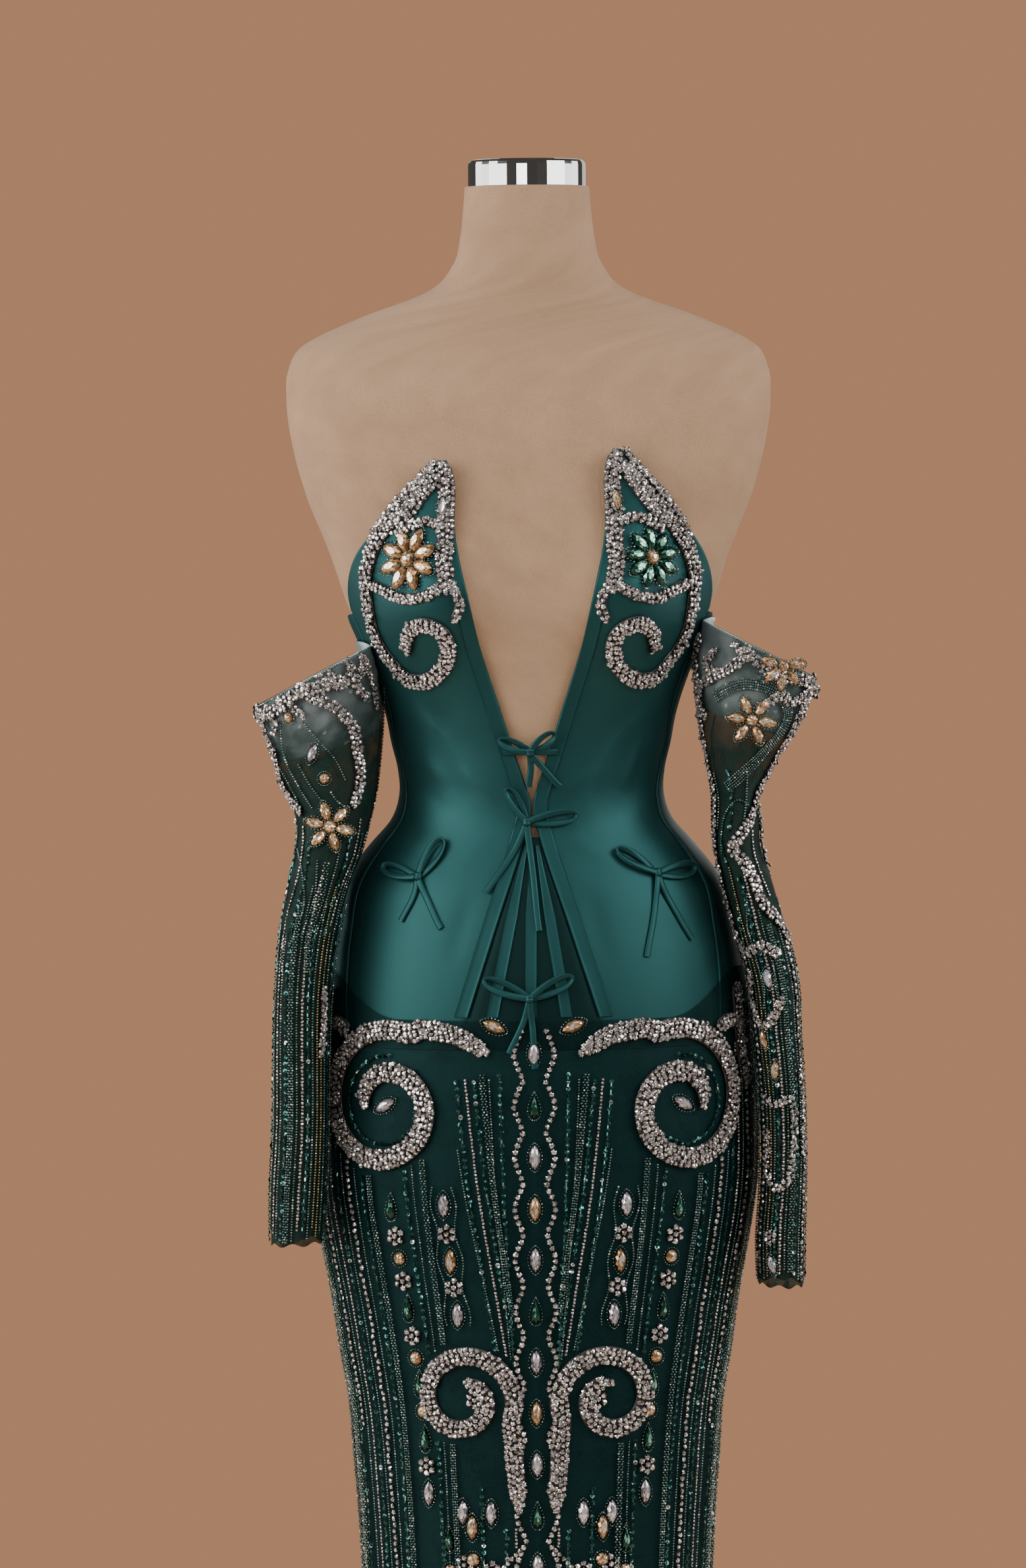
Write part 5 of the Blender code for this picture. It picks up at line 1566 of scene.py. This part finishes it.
def sequinRow(chart, knots, out, keep=None, steps=dressSteps, spacing=5.6 * mm):
    # Sequins that lie a little askew, with a small bead on each and a short tube bead between them.
    spine = alongPath(chart, knots, spacing, out, steps, keep=keep)
    count = len(spine["p"])
    if count < 3:
        return []
    discs = nudge(spine, 0, chance.normal(0, 0.35 * mm, count), 0.9 * mm)
    size = 3.9 * mm * chance.uniform(0.85, 1.1, count)
    tints = chance.uniform(0, 1, count) ** 1.3
    tubes = nudge(spine, spacing * 0.5, 0, 0.9 * mm)
    return [
        copies("disc", discs, size, "greenSequin", tilt=0.35, tints=tints),
        copies("ball", nudge(discs, n=0.8 * mm), 1.5 * mm, "greenSequin", smooth=True),
        copies("bugle", tubes, 1.0, "greenSequin", tilt=0.08, stretch=(2.6 * mm, 1.4 * mm, 1.4 * mm)),
    ]


def stoneRow(
    chart, knots, out, keep=None, size=4.7 * mm, gap=1.05, steps=dressSteps, shape="stone", sway=0.0,
):
    # Single round stones in a row.
    spine = alongPath(chart, knots, size * gap, out, steps, keep=keep)
    count = len(spine["p"])
    if count < 2:
        return []
    spine = nudge(spine, 0, chance.normal(0, sway, count) if sway else 0, 0.1 * mm)
    return [copies(shape, spine, size * chance.uniform(0.92, 1.06, count), "crystal", tilt=0.16, spin=True)]


# Lengths in mm: how far out the petals' middles are, the rings of beads round a petal and round the middle
flowerSettings = {
    "reach": 11.2, "petalRing": (8.4, 4.7), "petalBeads": 22, "middleRing": 5.2, "middleBeads": 16,
}


def flower(chart, place, out, petals, material, startDegrees=0, steps=dressSteps, size=1.0, sweep=360):
    # Petal stones round a rivoli, each petal and the rivoli with its ring of small beads.
    s, scale = flowerSettings, mm * size
    middle = spotsOn(chart, np.full(petals, place[0]), np.full(petals, place[1]), out, steps)
    turn = np.radians(startDegrees + np.arange(petals) * sweep / (petals if sweep == 360 else petals - 1))
    ring = nudge(turnSpots(middle, turn), s["reach"] * scale)
    a, b = ringAngles(s["petalBeads"]), ringAngles(s["middleBeads"])
    x, y = np.cos(a) * s["petalRing"][0], np.sin(a) * np.abs(np.sin(a)) ** 0.35 * s["petalRing"][1]
    one = spotsOn(chart, np.array([place[0]]), np.array([place[1]]), out + 0.8 * mm, steps)
    inner = s["middleRing"] * scale
    around = ringed(one, np.cos(b) * inner, np.sin(b) * inner, 0.3 * mm)
    return [
        copies("petal", ring, scale * 1.02, material),
        copies("ball", ringed(ring, x * scale, y * scale, 0.5 * mm), 1.9 * mm, "ropeBead", smooth=True),
        copies("rivoli", one, scale * 1.05, "champagneStone"),
        copies("ball", around, 1.5 * mm, "ropeBead", smooth=True),
    ]


# Scrolls on skirt and cups

# A scroll's half width and height, the knots of its stem, its volute (centre, radii, start, sweep) and
# the zone of the stem, across and up, that the rows of beads leave free, in mm and degrees
scrollSettings = {
    "hip": {
        "half": 9.6, "out": 5.9, "stem": ((36, 866), (62, 880), (94, 885)), "perSpan": 5,
        "volute": ((122, 823), 62, 17, 112, -480), "points": 40, "zone": ((26, 118), (852, 1200)),
    },
    "lower": {
        "half": 8.8, "out": 4.9, "stem": ((14, 500), (17, 534), (19, 566)), "perSpan": 4,
        "volute": ((58, 589), 42, 13, 205, -470), "points": 34, "zone": ((5, 29), (488, 589)),
    },
    "cup": {
        "half": 8.0, "out": 3.8, "perSpan": 4, "volute": ((88, 1190), 30, 11, -56, -330), "points": 22,
        "stem": ((76, 1331), (98, 1302), (127, 1272), (147, 1240), (144, 1206), (121, 1178)),
    },
}


def mirrored(knots, side):
    # A path in millimetres moved to metres and to its side.
    return np.array(knots, float) * mm * np.array([side, 1.0])


def makeScrolls():
    # Each scroll is a crust of stones along its stem and its volute.
    for side, word in ((-1, "left"), (1, "right")):
        for name, s in scrollSettings.items():
            stem = throughKnots(s["stem"], s["perSpan"])[:-1]
            path = mirrored(np.concatenate([stem, volute(*s["volute"], s["points"])]), side)
            parts = crust(onDress, path, s["half"] * mm, s["out"] * mm, perSpan=2)
            makePiece(name + "Scroll" + word.title(), parts, [f"{name}_scroll_{word}"])


makeScrolls()
print("scrolls made")


def clearOfScrolls(arc, z):
    # True where a row of beads is outside the skirt's volutes, whose radius shrinks with the turn, and away
    # from the scrolls' stems.
    a, h = np.abs(arc) / mm, z / mm
    clear = np.full(np.shape(a), True)
    for s in (scrollSettings["hip"], scrollSettings["lower"]):
        (left, right), (low, high) = s["zone"]
        clear &= ~((a > left) & (a < right) & (h > low) & (h < high))
        (a0, h0), start, end, degrees, sweep = s["volute"]
        turned = (degrees - np.degrees(np.arctan2(h - h0, a - a0))) % 360
        radius = start + (start - end) * turned / sweep
        clear &= np.hypot(a - a0, h - h0) > radius + s["half"] + 3
    return clear


# The lean of the skirt's columns grows evenly from a height, over a length
leanSettings = {"from": 0.86, "over": 0.25, "column": 10, "columnsBeyond": 70}


def shareOfHip(z):
    # The body's half width at a height, as a share of its width at the hip.
    return section(z)[0] / section(np.array(0.82))[0]


def leanShare(z):
    # How much of its lean a column has at a height.
    return np.clip((leanSettings["from"] - z) / leanSettings["over"], 0, 1)


def leaningLine(position, lean, low, high, count=12):
    # A lengthwise line: its share of the skirt's width from the hip to the hem, less its lean, in mm.
    z = np.linspace(high, low, count)
    return np.stack([position * shareOfHip(z * mm) - lean * leanShare(z * mm), z], -1)


# Lengthwise rows on the skirt in mm: distance from the centre at the hip, lean towards it, kind, top, foot
skirtRows = (
    (27, 6, "sequin", 880, 520), (42, 24, "rope", 850, 660), (49, 26, "sequin", 846, 560),
    (56, 27, "chain", 846, 470), (63, 25, "sequin", 846, 300), (70, 34, "green", 790, 600),
    (36, 12, "green", 846, 520), (55, 0, "sequin", 520, 45), (92, 8, "rope", 846, 130),
    (101, 8, "green", 846, 45), (108, 8, "sequin", 846, 45), (139, 5, "rope", 846, 300),
    (147, 5, "sequin", 846, 45), (154, 4, "green", 846, 90), (161, 3, "stones", 850, 420),
    (168, 3, "green", 852, 45), (174, 2, "sequin", 860, 60), (181, 2, "chain", 868, 200),
    (187, 1, "green", 880, 60), (194, 0, "stones", 905, 560), (201, 0, "sequin", 910, 45),
    (208, 0, "rope", 910, 330), (215, 0, "gold", 912, 160), (222, 0, "green", 914, 60),
    (230, 0, "chain", 914, 250), (238, 0, "sequin", 914, 45), (248, 0, "rope", 914, 420),
    (259, 0, "sequin", 914, 45), (272, 0, "green", 910, 60), (286, 0, "sequin", 906, 45),
    (300, 0, "rope", 902, 380), (313, 0, "green", 898, 60), (327, 0, "sequin", 894, 45),
    (342, 0, "chain", 890, 240), (356, 0, "green", 886, 60), (370, 0, "sequin", 884, 45),
    (386, 0, "rope", 884, 420), (400, 0, "green", 884, 60), (414, 0, "sequin", 884, 45),
    (430, 0, "chain", 884, 300),
)


def rowParts(kind, chart, knots, out, keep=None, steps=dressSteps):
    # One row of the named kind along a path.
    if kind == "rope":
        return beadRope(chart, knots, out, keep, 3, steps, ropeSettings["bead"])
    if kind == "sequin":
        return sequinRow(chart, knots, out, keep, steps)
    if kind == "stones":
        return stoneRow(chart, knots, out, keep, 4.6 * mm, 1.1, steps, sway=0.5 * mm)
    if kind == "chain":
        return stoneRow(chart, knots, out, keep, 2.8 * mm, 1.0, steps, "chip")
    return beadRope(
        chart, knots, out, keep, 1, steps, material="goldBead" if kind == "gold" else "ropeBead",
    )


def skirtChart(arc, z, out):
    # The dress's surface with the hanging folds added.
    turn = turnOfArc(arc, z)
    return onBody(turn, z, out + foldHeight(turn, z) * (z < heights["hipSeam"]))


onTulle = layers["overlayFace"] + 0.3 * mm


def makeSkirtRows():
    # The same rows on both sides, each side its own piece.
    for side, word in ((-1, "Left"), (1, "Right")):
        parts = []
        for position, lean, kind, high, low in skirtRows:
            out = onTulle + (layers["overlayStandOff"] if high > 860 else 0)
            knots = mirrored(leaningLine(position, lean, low, high), side)
            parts += rowParts(kind, skirtChart, knots, out, clearOfScrolls)
        makePiece("skirtRows" + word, parts)


makeSkirtRows()

# Set stones down the skirt: distance from the centre at the hip and height in mm, and kind
stoneColumns = (
    (78, 745, "lilacMarquise"), (78, 722, "rosette"), (78, 700, "champagneMarquise"), (78, 679, "rosette"),
    (78, 657, "lilacMarquise"), (124, 742, "drop"), (124, 719, "rosette"), (124, 701, "rivoli"),
    (124, 683, "rosette"), (124, 661, "drop"), (124, 639, "rosette"), (124, 621, "rivoli"),
    (124, 600, "drop"), (124, 578, "rivoli"), (124, 556, "drop"), (124, 534, "rosette"),
    (124, 512, "lilacMarquise"), (122, 823, "turnedMarquise"), (31, 887, "topMarquise"),
    (58, 589, "rosette"), (46, 498, "lilacMarquise"), (66, 486, "champagneMarquise"),
    (88, 498, "lilacMarquise"), (66, 460, "rivoli"), (46, 452, "rosette"), (88, 456, "rosette"),
    (104, 476, "drop"), (104, 450, "rivoli"),
)
# Each kind's shape, material and degrees from upright, in the order in which they are sewn on
stoneKinds = {
    "drop": ("drop", "emeraldStone", 0),
    "champagneMarquise": ("marquise", "champagneStone", 0),
    "lilacMarquise": ("marquise", "lilacStone", 0),
    "turnedMarquise": ("marquise", "lilacStone", 62),
    "topMarquise": ("marquise", "champagneStone", -66),
    "rivoli": ("rivoli", "champagneStone", 0),
    "rosette": None,
}
# Short strips of stones from the hip scrolls to the sides: path and half width
sideStrips = (
    (((158, 880), (172, 886), (188, 884), (206, 892)), 7.0),
    (((184, 914), (186, 890), (188, 862), (196, 832)), 7.5),
)
# Single rows of stones near the foot of the centre
footVines = (
    ((12, 470), (31, 446), (36, 410), (20, 378)),
    ((10, 440), (19, 424), (20, 404), (12, 388)),
    ((52, 436), (70, 420), (76, 396), (66, 374)),
)
stoneScales = {"marquise": 1.22, "rivoli": 1.28, "drop": 1.2}
# Two waving rows of beads enclose the column of stones at 78 mm
columnEdges = {
    "position": 78, "top": 760, "foot": 648, "rows": 36, "half": 8.6, "wave": 1.8, "crest": 745,
    "period": 44,
}
centreChain = {
    "period": 41, "top": 886, "foot": 372, "rows": 75, "wide": 16.0, "narrow": 8.5,
    "out": onTulle + 0.6 * mm,
}
chainStones = (
    ("marquise", "lilacStone"), ("drop", "emeraldStone"), ("marquise", "lilacStone"),
    ("marquise", "champagneStone"),
)


def columnStones(side):
    # The set stones and rosettes of one side, kind by kind.
    parts = []
    for kind, look in stoneKinds.items():
        spots = np.array([(a, z) for a, z, k in stoneColumns if k == kind], float)
        a, z = spots[:, 0], spots[:, 1]
        leaning = a * shareOfHip(z * mm) - leanSettings["column"] * leanShare(z * mm) * (
            a > leanSettings["columnsBeyond"]
        )
        spots = mirrored(np.stack([np.where(z > 790, a, leaning), z], -1), side)
        if kind == "rosette":
            parts += rosette(skirtChart, spots, onTulle, 5.7 * mm)
            continue
        shape, material, degrees = look
        places = np.c_[spots, np.full(len(spots), degrees * side)]
        parts += framedStone(skirtChart, places, shape, material, onTulle, stoneScales[shape])
    return parts


def makeSetStones():
    # On each side the set stones, a small volute inside the hip scroll, edges, strips and vines.
    s = columnEdges
    for side, word in ((-1, "Left"), (1, "Right")):
        parts = columnStones(side)
        parts += sequinRow(skirtChart, mirrored(volute((122, 823), 40, 26, 100, -300, 14), side), onTulle)
        z = np.linspace(s["top"], s["foot"], s["rows"])
        wave = s["half"] + s["wave"] * np.cos((z - s["crest"]) / s["period"] * 2 * math.pi)
        middle = s["position"] * shareOfHip(z * mm) - leanSettings["column"] * leanShare(z * mm)
        for edge in (-1, 1):
            parts += rowParts(
                "green", skirtChart, mirrored(np.stack([middle + edge * wave, z], -1), side), onTulle,
            )
        for knots, half in sideStrips:
            parts += crust(skirtChart, mirrored(knots, side), half * mm, onTulle + 1 * mm, perSpan=6)
        for knots in footVines:
            parts += stoneRow(skirtChart, mirrored(knots, side), onTulle, None, 4.8 * mm, 0.98)
        makePiece("setStones" + word, parts)


def makeCentreChain():
    # A chain of lozenges down the centre, with one stone in each.
    s = centreChain
    z = np.linspace(s["top"], s["foot"], s["rows"])
    phase = np.abs(((s["top"] - z) / s["period"]) % 1 - 0.5) * 2
    half = s["wide"] - (s["wide"] - s["narrow"]) * phase**1.3
    parts = []
    for side in (-1, 1):
        parts += stoneRow(
            skirtChart, mirrored(np.stack([half, z], -1), side), s["out"], None, 5.2 * mm, 1.03,
        )
    middles = s["top"] - s["period"] * (np.arange(12) + 0.5)
    for offset, (shape, material) in enumerate(chainStones):
        chosen = middles[offset::4]
        places = [(1e-6, z * mm, 0) for z in chosen[chosen > s["foot"] + 10]]
        parts += framedStone(
            skirtChart, places, shape, material, s["out"], stoneScales[shape], ring=slimRing,
        )
    makePiece("centreChain", parts)


makeSetStones()
makeCentreChain()
print("skirt beadwork made")

# Strips of stones on the cups besides the swept scroll: path from knot to knot and half width
cupVines = (
    (((68, 1343), (65, 1322), (66, 1298), (67, 1272), (69, 1250), (65, 1232)), 8.4),
    (((73, 1345), (84, 1333), (98, 1318), (113, 1300), (127, 1283)), 3.4),
    (((74, 1334), (84, 1318), (95, 1303), (108, 1289)), 8.0),
    (((70, 1286), (82, 1291), (95, 1287), (106, 1280)), 5.2),
    (((69, 1238), (86, 1229), (106, 1228), (126, 1234), (143, 1240)), 5.6),
    (((66, 1240), (58, 1224), (62, 1210)), 5.0),
)


cupFlowers = {
    "Left": {
        "side": -1, "petals": 8, "stone": "champagneStone", "slot": "champagne", "size": 1.45,
        "long": "lilacStone",
    },
    "Right": {
        "side": 1, "petals": 9, "stone": "emeraldStone", "slot": "emerald", "size": 1.36,
        "long": "champagneStone",
    },
}


def onCup(side):
    # The dress's surface with the cup's tip brought down.
    return lambda arc, z, out: onDress(arc, z - tipDrop(side, z), out)


def makeCups():
    # The close stones, their flower and one long stone on each cup.
    onSatin = layers["satinFace"]
    for word, s in cupFlowers.items():
        side, chart = s["side"], onCup(s["side"])
        parts = []
        for knots, half in cupVines:
            parts += crust(chart, mirrored(knots, side), half * mm, onSatin + 0.3 * mm, perSpan=6)
        place = (side * 68 * mm, 1.304, 8 * side)
        parts += framedStone(chart, [place], "marquise", s["long"], onSatin + 3.2 * mm, ring=slimRing)
        makePiece("cupStones" + word, parts)
        place = (side * 97 * mm, 1.258)
        parts = flower(onDress, place, onSatin + 1.1 * mm, s["petals"], s["stone"], 11, size=s["size"])
        makePiece("cupFlower" + word, parts, ["cup_flower_" + word.lower()])


makeCups()
print("cup beadwork made")

# Sleeve beadwork: angles in degrees round the arm, -90 in front
sleeveRows = {
    "Left": (
        (-172, "sequin"), (-158, "green"), (-146, "chain"), (-134, "green"), (-122, "sequin"),
        (-110, "rope"), (-98, "green"), (-87, "chain"), (-76, "sequin"), (-66, "green"), (-56, "gold"),
        (-46, "gold"), (-36, "green"), (-22, "sequin"), (0, "green"), (40, "sequin"), (80, "green"),
        (120, "sequin"), (150, "green"),
    ),
    "Right": (
        (-8, "sequin"), (-22, "green"), (-34, "stones"), (-46, "green"), (-58, "sequin"), (-70, "rope"),
        (-82, "green"), (-93, "chain"), (-104, "sequin"), (-114, "green"), (-124, "gold"), (-134, "green"),
        (-146, "stones"), (-160, "sequin"), (180, "green"), (140, "sequin"), (100, "green"), (60, "sequin"),
        (30, "green"),
    ),
}
# Strips of stones: half width, then angles in degrees and true heights
sleeveVines = {
    "Left": (
        (6.4, (-178, 1150), (-164, 1128), (-156, 1104), (-162, 1076), (-138, 1056)),
        (6.4, (-118, 1168), (-100, 1150), (-81, 1142), (-64, 1126), (-58, 1104), (-54, 1084), (-62, 1062)),
        (5.4, (-58, 1190), (-46, 1174), (-58, 1160), (-44, 1146)),
        (5.0, (-88, 1178), (-80, 1164), (-92, 1152)),
        (4.6, (-142, 1162), (-130, 1146), (-126, 1138)),
        (5.4, (-76, 1184), (-60, 1172), (-72, 1158), (-94, 1166)),
        (4.4, (-46, 1180), (-38, 1160), (-32, 1138)),
        (4.2, (-100, 1158), (-118, 1146), (-108, 1134)),
        (5.0, (-46, 918), (-42, 890), (-48, 862)),
        (4.4, (-150, 1144), (-138, 1130), (-146, 1118)),
    ),
    "Right": (
        (8.0, (-8, 1168), (-22, 1156), (-30, 1140), (-28, 1114), (-16, 1092), (-28, 1074), (-42, 1058)),
        (
            6.4, (-42, 1058), (-72, 1041), (-102, 1026), (-84, 1014), (-77, 1000), (-70, 980), (-40, 964),
            (-26, 945),
        ),
        (6.4, (-150, 1196), (-158, 1172), (-150, 1150), (-156, 1128), (-152, 1106)),
        (
            4.2, (-152, 1106), (-150, 1090), (-142, 1064), (-146, 1040), (-154, 1000), (-154, 970),
            (-150, 950),
        ),
        (5.2, (-30, 1150), (-48, 1142), (-62, 1148), (-74, 1140)),
        (4.6, (-20, 1060), (-16, 1036), (-26, 1012)),
        (5.8, (-92, 1190), (-108, 1172), (-136, 1160), (-156, 1150), (-142, 1130)),
        (4.8, (-128, 1184), (-140, 1172), (-122, 1166)),
        (5.6, (-150, 948), (-126, 942), (-100, 948), (-66, 940)),
        (5.0, (-142, 926), (-146, 902), (-126, 884), (-100, 888), (-80, 906)),
        (
            4.6, (-132, 826), (-104, 820), (-72, 824), (-66, 806), (-72, 780), (-80, 760), (-108, 752),
            (-128, 764), (-126, 800),
        ),
        (4.6, (-42, 846), (-36, 812), (-42, 776)),
    ),
}
# Thin lines on the sleeves: kind, then angles and true heights
sleeveLines = {
    "Left": (
        ("chain", (-10, 1156), (-12, 1104), (-14, 1060), (-24, 1026)),
        ("green", (-132, 1128), (-139, 1100), (-129, 1074), (-118, 1060)),
        ("green", (-110, 1130), (-97, 1113), (-84, 1100), (-73, 1082)),
        ("green", (-92, 1074), (-84, 1066), (-70, 1060)),
        ("green", (-150, 1028), (-122, 1006), (-108, 980), (-126, 950)),
        ("green", (-104, 1020), (-92, 990), (-104, 958)),
        ("sequin", (-60, 1040), (-54, 1000), (-62, 960)),
        ("green", (-36, 1040), (-30, 1000), (-40, 950)),
        ("sequin", (-168, 1052), (-158, 1012), (-168, 972), (-160, 936)),
        ("chain", (-142, 1046), (-134, 1006), (-146, 968), (-140, 930)),
        ("sequin", (-126, 1036), (-118, 1000), (-128, 962)),
        ("rope", (-88, 1018), (-80, 990), (-90, 958), (-84, 930)),
        ("green", (-74, 1036), (-68, 996), (-78, 956)),
        ("chain", (-46, 1052), (-42, 1012), (-50, 966)),
        ("green", (-166, 1104), (-150, 1086), (-140, 1064)),
        ("green", (-124, 1096), (-116, 1080), (-104, 1066)),
        ("green", (40, 1170), (60, 1130), (48, 1096), (70, 1040), (60, 1000)),
        ("green", (84, 1150), (96, 1110), (84, 1070), (100, 1010)),
        ("sequin", (130, 1150), (120, 1110), (134, 1060), (124, 1000)),
        ("chain", (20, 1150), (26, 1100), (18, 1050), (24, 1000)),
        ("chain", (160, 1140), (166, 1100), (160, 1050), (164, 1000)),
    ),
    "Right": (
        ("green", (-60, 1060), (-90, 1064), (-120, 1050), (-134, 1020)),
        ("sequin", (-130, 1040), (-126, 1000), (-132, 960)),
        ("green", (-98, 990), (-112, 970), (-120, 955)),
        ("green", (-120, 936), (-112, 914), (-120, 896)),
        ("green", (-82, 936), (-88, 914), (-82, 896)),
        ("sequin", (-110, 1090), (-100, 1064), (-108, 1040)),
        ("green", (-76, 1090), (-66, 1066), (-72, 1048)),
        ("chain", (-50, 1040), (-56, 1012), (-48, 986)),
        ("sequin", (-108, 1004), (-102, 980), (-108, 956)),
        ("green", (-140, 1086), (-134, 1060), (-140, 1040)),
        ("green", (140, 1180), (120, 1140), (132, 1100), (112, 1040), (122, 1000)),
        ("green", (96, 1150), (84, 1110), (96, 1070), (84, 1010)),
        ("sequin", (50, 1150), (60, 1110), (46, 1060), (56, 1000)),
        ("chain", (160, 1170), (154, 1120), (162, 1060), (156, 1000)),
        ("chain", (20, 1150), (14, 1100), (20, 1050), (16, 1000)),
    ),
}
# A band of several rows of small beads that curves round the right sleeve's flower
flowerBand = ((-128, 1146), (-98, 1157), (-66, 1150), (-46, 1128), (-54, 1102), (-84, 1084), (-112, 1074))
# Set stones on the sleeves: shape, material, angle, true height, degrees from upright
sleeveStones = {
    "Left": (
        ("rivoli", "champagneStone", -123, 1133, 0), ("marquise", "lilacStone", -106, 1104, -30),
        ("rivoli", "champagneStone", -97, 1084, 0),
    ),
    "Right": (
        ("marquise", "lilacStone", -102, 921, 0), ("marquise", "champagneStone", -124, 872, 10),
        ("marquise", "champagneStone", -104, 847, -8), ("marquise", "lilacStone", -114, 690, 20),
    ),
}
# Flowers: angle and height of the middle, petals, first petal, sweep, node
sleeveFlowers = {
    "Left": ((-94, 1046, 6, 20, 360, "sleeve_flower_left"),),
    "Right": ((-84, 1128, 6, 35, 360, "sleeve_flower_right"), (-64, 1172, 5, 80, 200, None)),
}


def sleeveKnots(knots):
    # Degrees and millimetres as radians and metres.
    return np.array(knots, float) * np.array([math.pi / 180, mm])


def sleeveFace(table):
    # The sleeve's surface by angle and true height, whose tipped ring is found in ten steps.
    def chart(angle, height, out):
        # The ring's height is the true height less the ring's rise at that angle.
        z = height
        for _ in range(10):
            z = height - between(table, "rise", z) * between(table, "halfWidth", z) * mm * np.cos(angle)
        return sleevePoint(table, angle, np.minimum(z, (table["rows"][-1][0] - 4) * mm), out)
    return chart


def makeSleeveBeads():
    # A stone collar round each mouth, strips and lines below it, rows along the arm, and flowers.
    for word, s in sleeveSettings.items():
        ring, face, table = onSleeve(s["table"]), sleeveFace(s["table"]), s["table"]
        foot, mouth = table["rows"][0][0], table["rows"][-1][0]
        a = np.linspace(-112, 112, 40) + math.degrees(s["away"])
        collar = sleeveKnots(np.stack([a, mouth - 10 - 3 * np.cos(np.radians(a) * 5)], -1))
        parts = crust(ring, collar, 6.6 * mm, 0.9 * mm, 4.7 * mm, 1.2 * mm, sleeveSteps, 4, False)
        rim = sleeveKnots(np.stack([a, np.full(40, mouth - 1.2)], -1))
        parts += rowParts("green", ring, rim, 0.6 * mm, None, sleeveSteps)
        makePiece("sleeveCollar" + word, parts, ["sleeve_collar_" + s["node"]])
        parts = []
        for half, *knots in sleeveVines[word]:
            parts += crust(
                face, sleeveKnots(knots), half * mm, 0.3 * mm, 4.4 * mm, 0.9 * mm, sleeveSteps, 8, False,
            )
        for kind, *knots in sleeveLines[word]:
            parts += rowParts(kind, face, sleeveKnots(knots), 0.2 * mm, None, sleeveSteps)
        for degrees, kind in sleeveRows[word]:
            z = np.linspace(985 + 26 * math.sin(degrees), foot + 8 + 6 * math.cos(degrees), 9)
            knots = sleeveKnots(np.stack([degrees + 3 * np.sin(z / 40.0), z], -1))
            parts += rowParts(kind, ring, knots, 0.2 * mm, None, sleeveSteps)
        for shape, material, degrees, z, lean in sleeveStones[word]:
            place = (math.radians(degrees), z * mm, lean)
            parts += framedStone(face, [place], shape, material, 0.6 * mm, steps=sleeveSteps)
        if word == "Right":
            for aside in (-4, -2, 0, 2, 4):
                band = sleeveKnots(flowerBand)
                parts += beadRope(face, band, 0.2 * mm, None, 1, sleeveSteps, 2.0 * mm, aside=aside * mm)
            parts += rosette(face, [(math.radians(-118), 0.712)], 0.4 * mm, 4.8 * mm, sleeveSteps)
        makePiece("sleeveBeads" + word, parts)
        for number, (degrees, z, petals, start, sweep, node) in enumerate(sleeveFlowers[word], 1):
            place = (math.radians(degrees), z * mm)
            parts = flower(face, place, 1.5 * mm, petals, "champagneStone", start, sleeveSteps, 1.12, sweep)
            makePiece(f"sleeveFlower{word}{number}", parts, [node] if node else ())


makeSleeveBeads()
print("sleeve beadwork made")
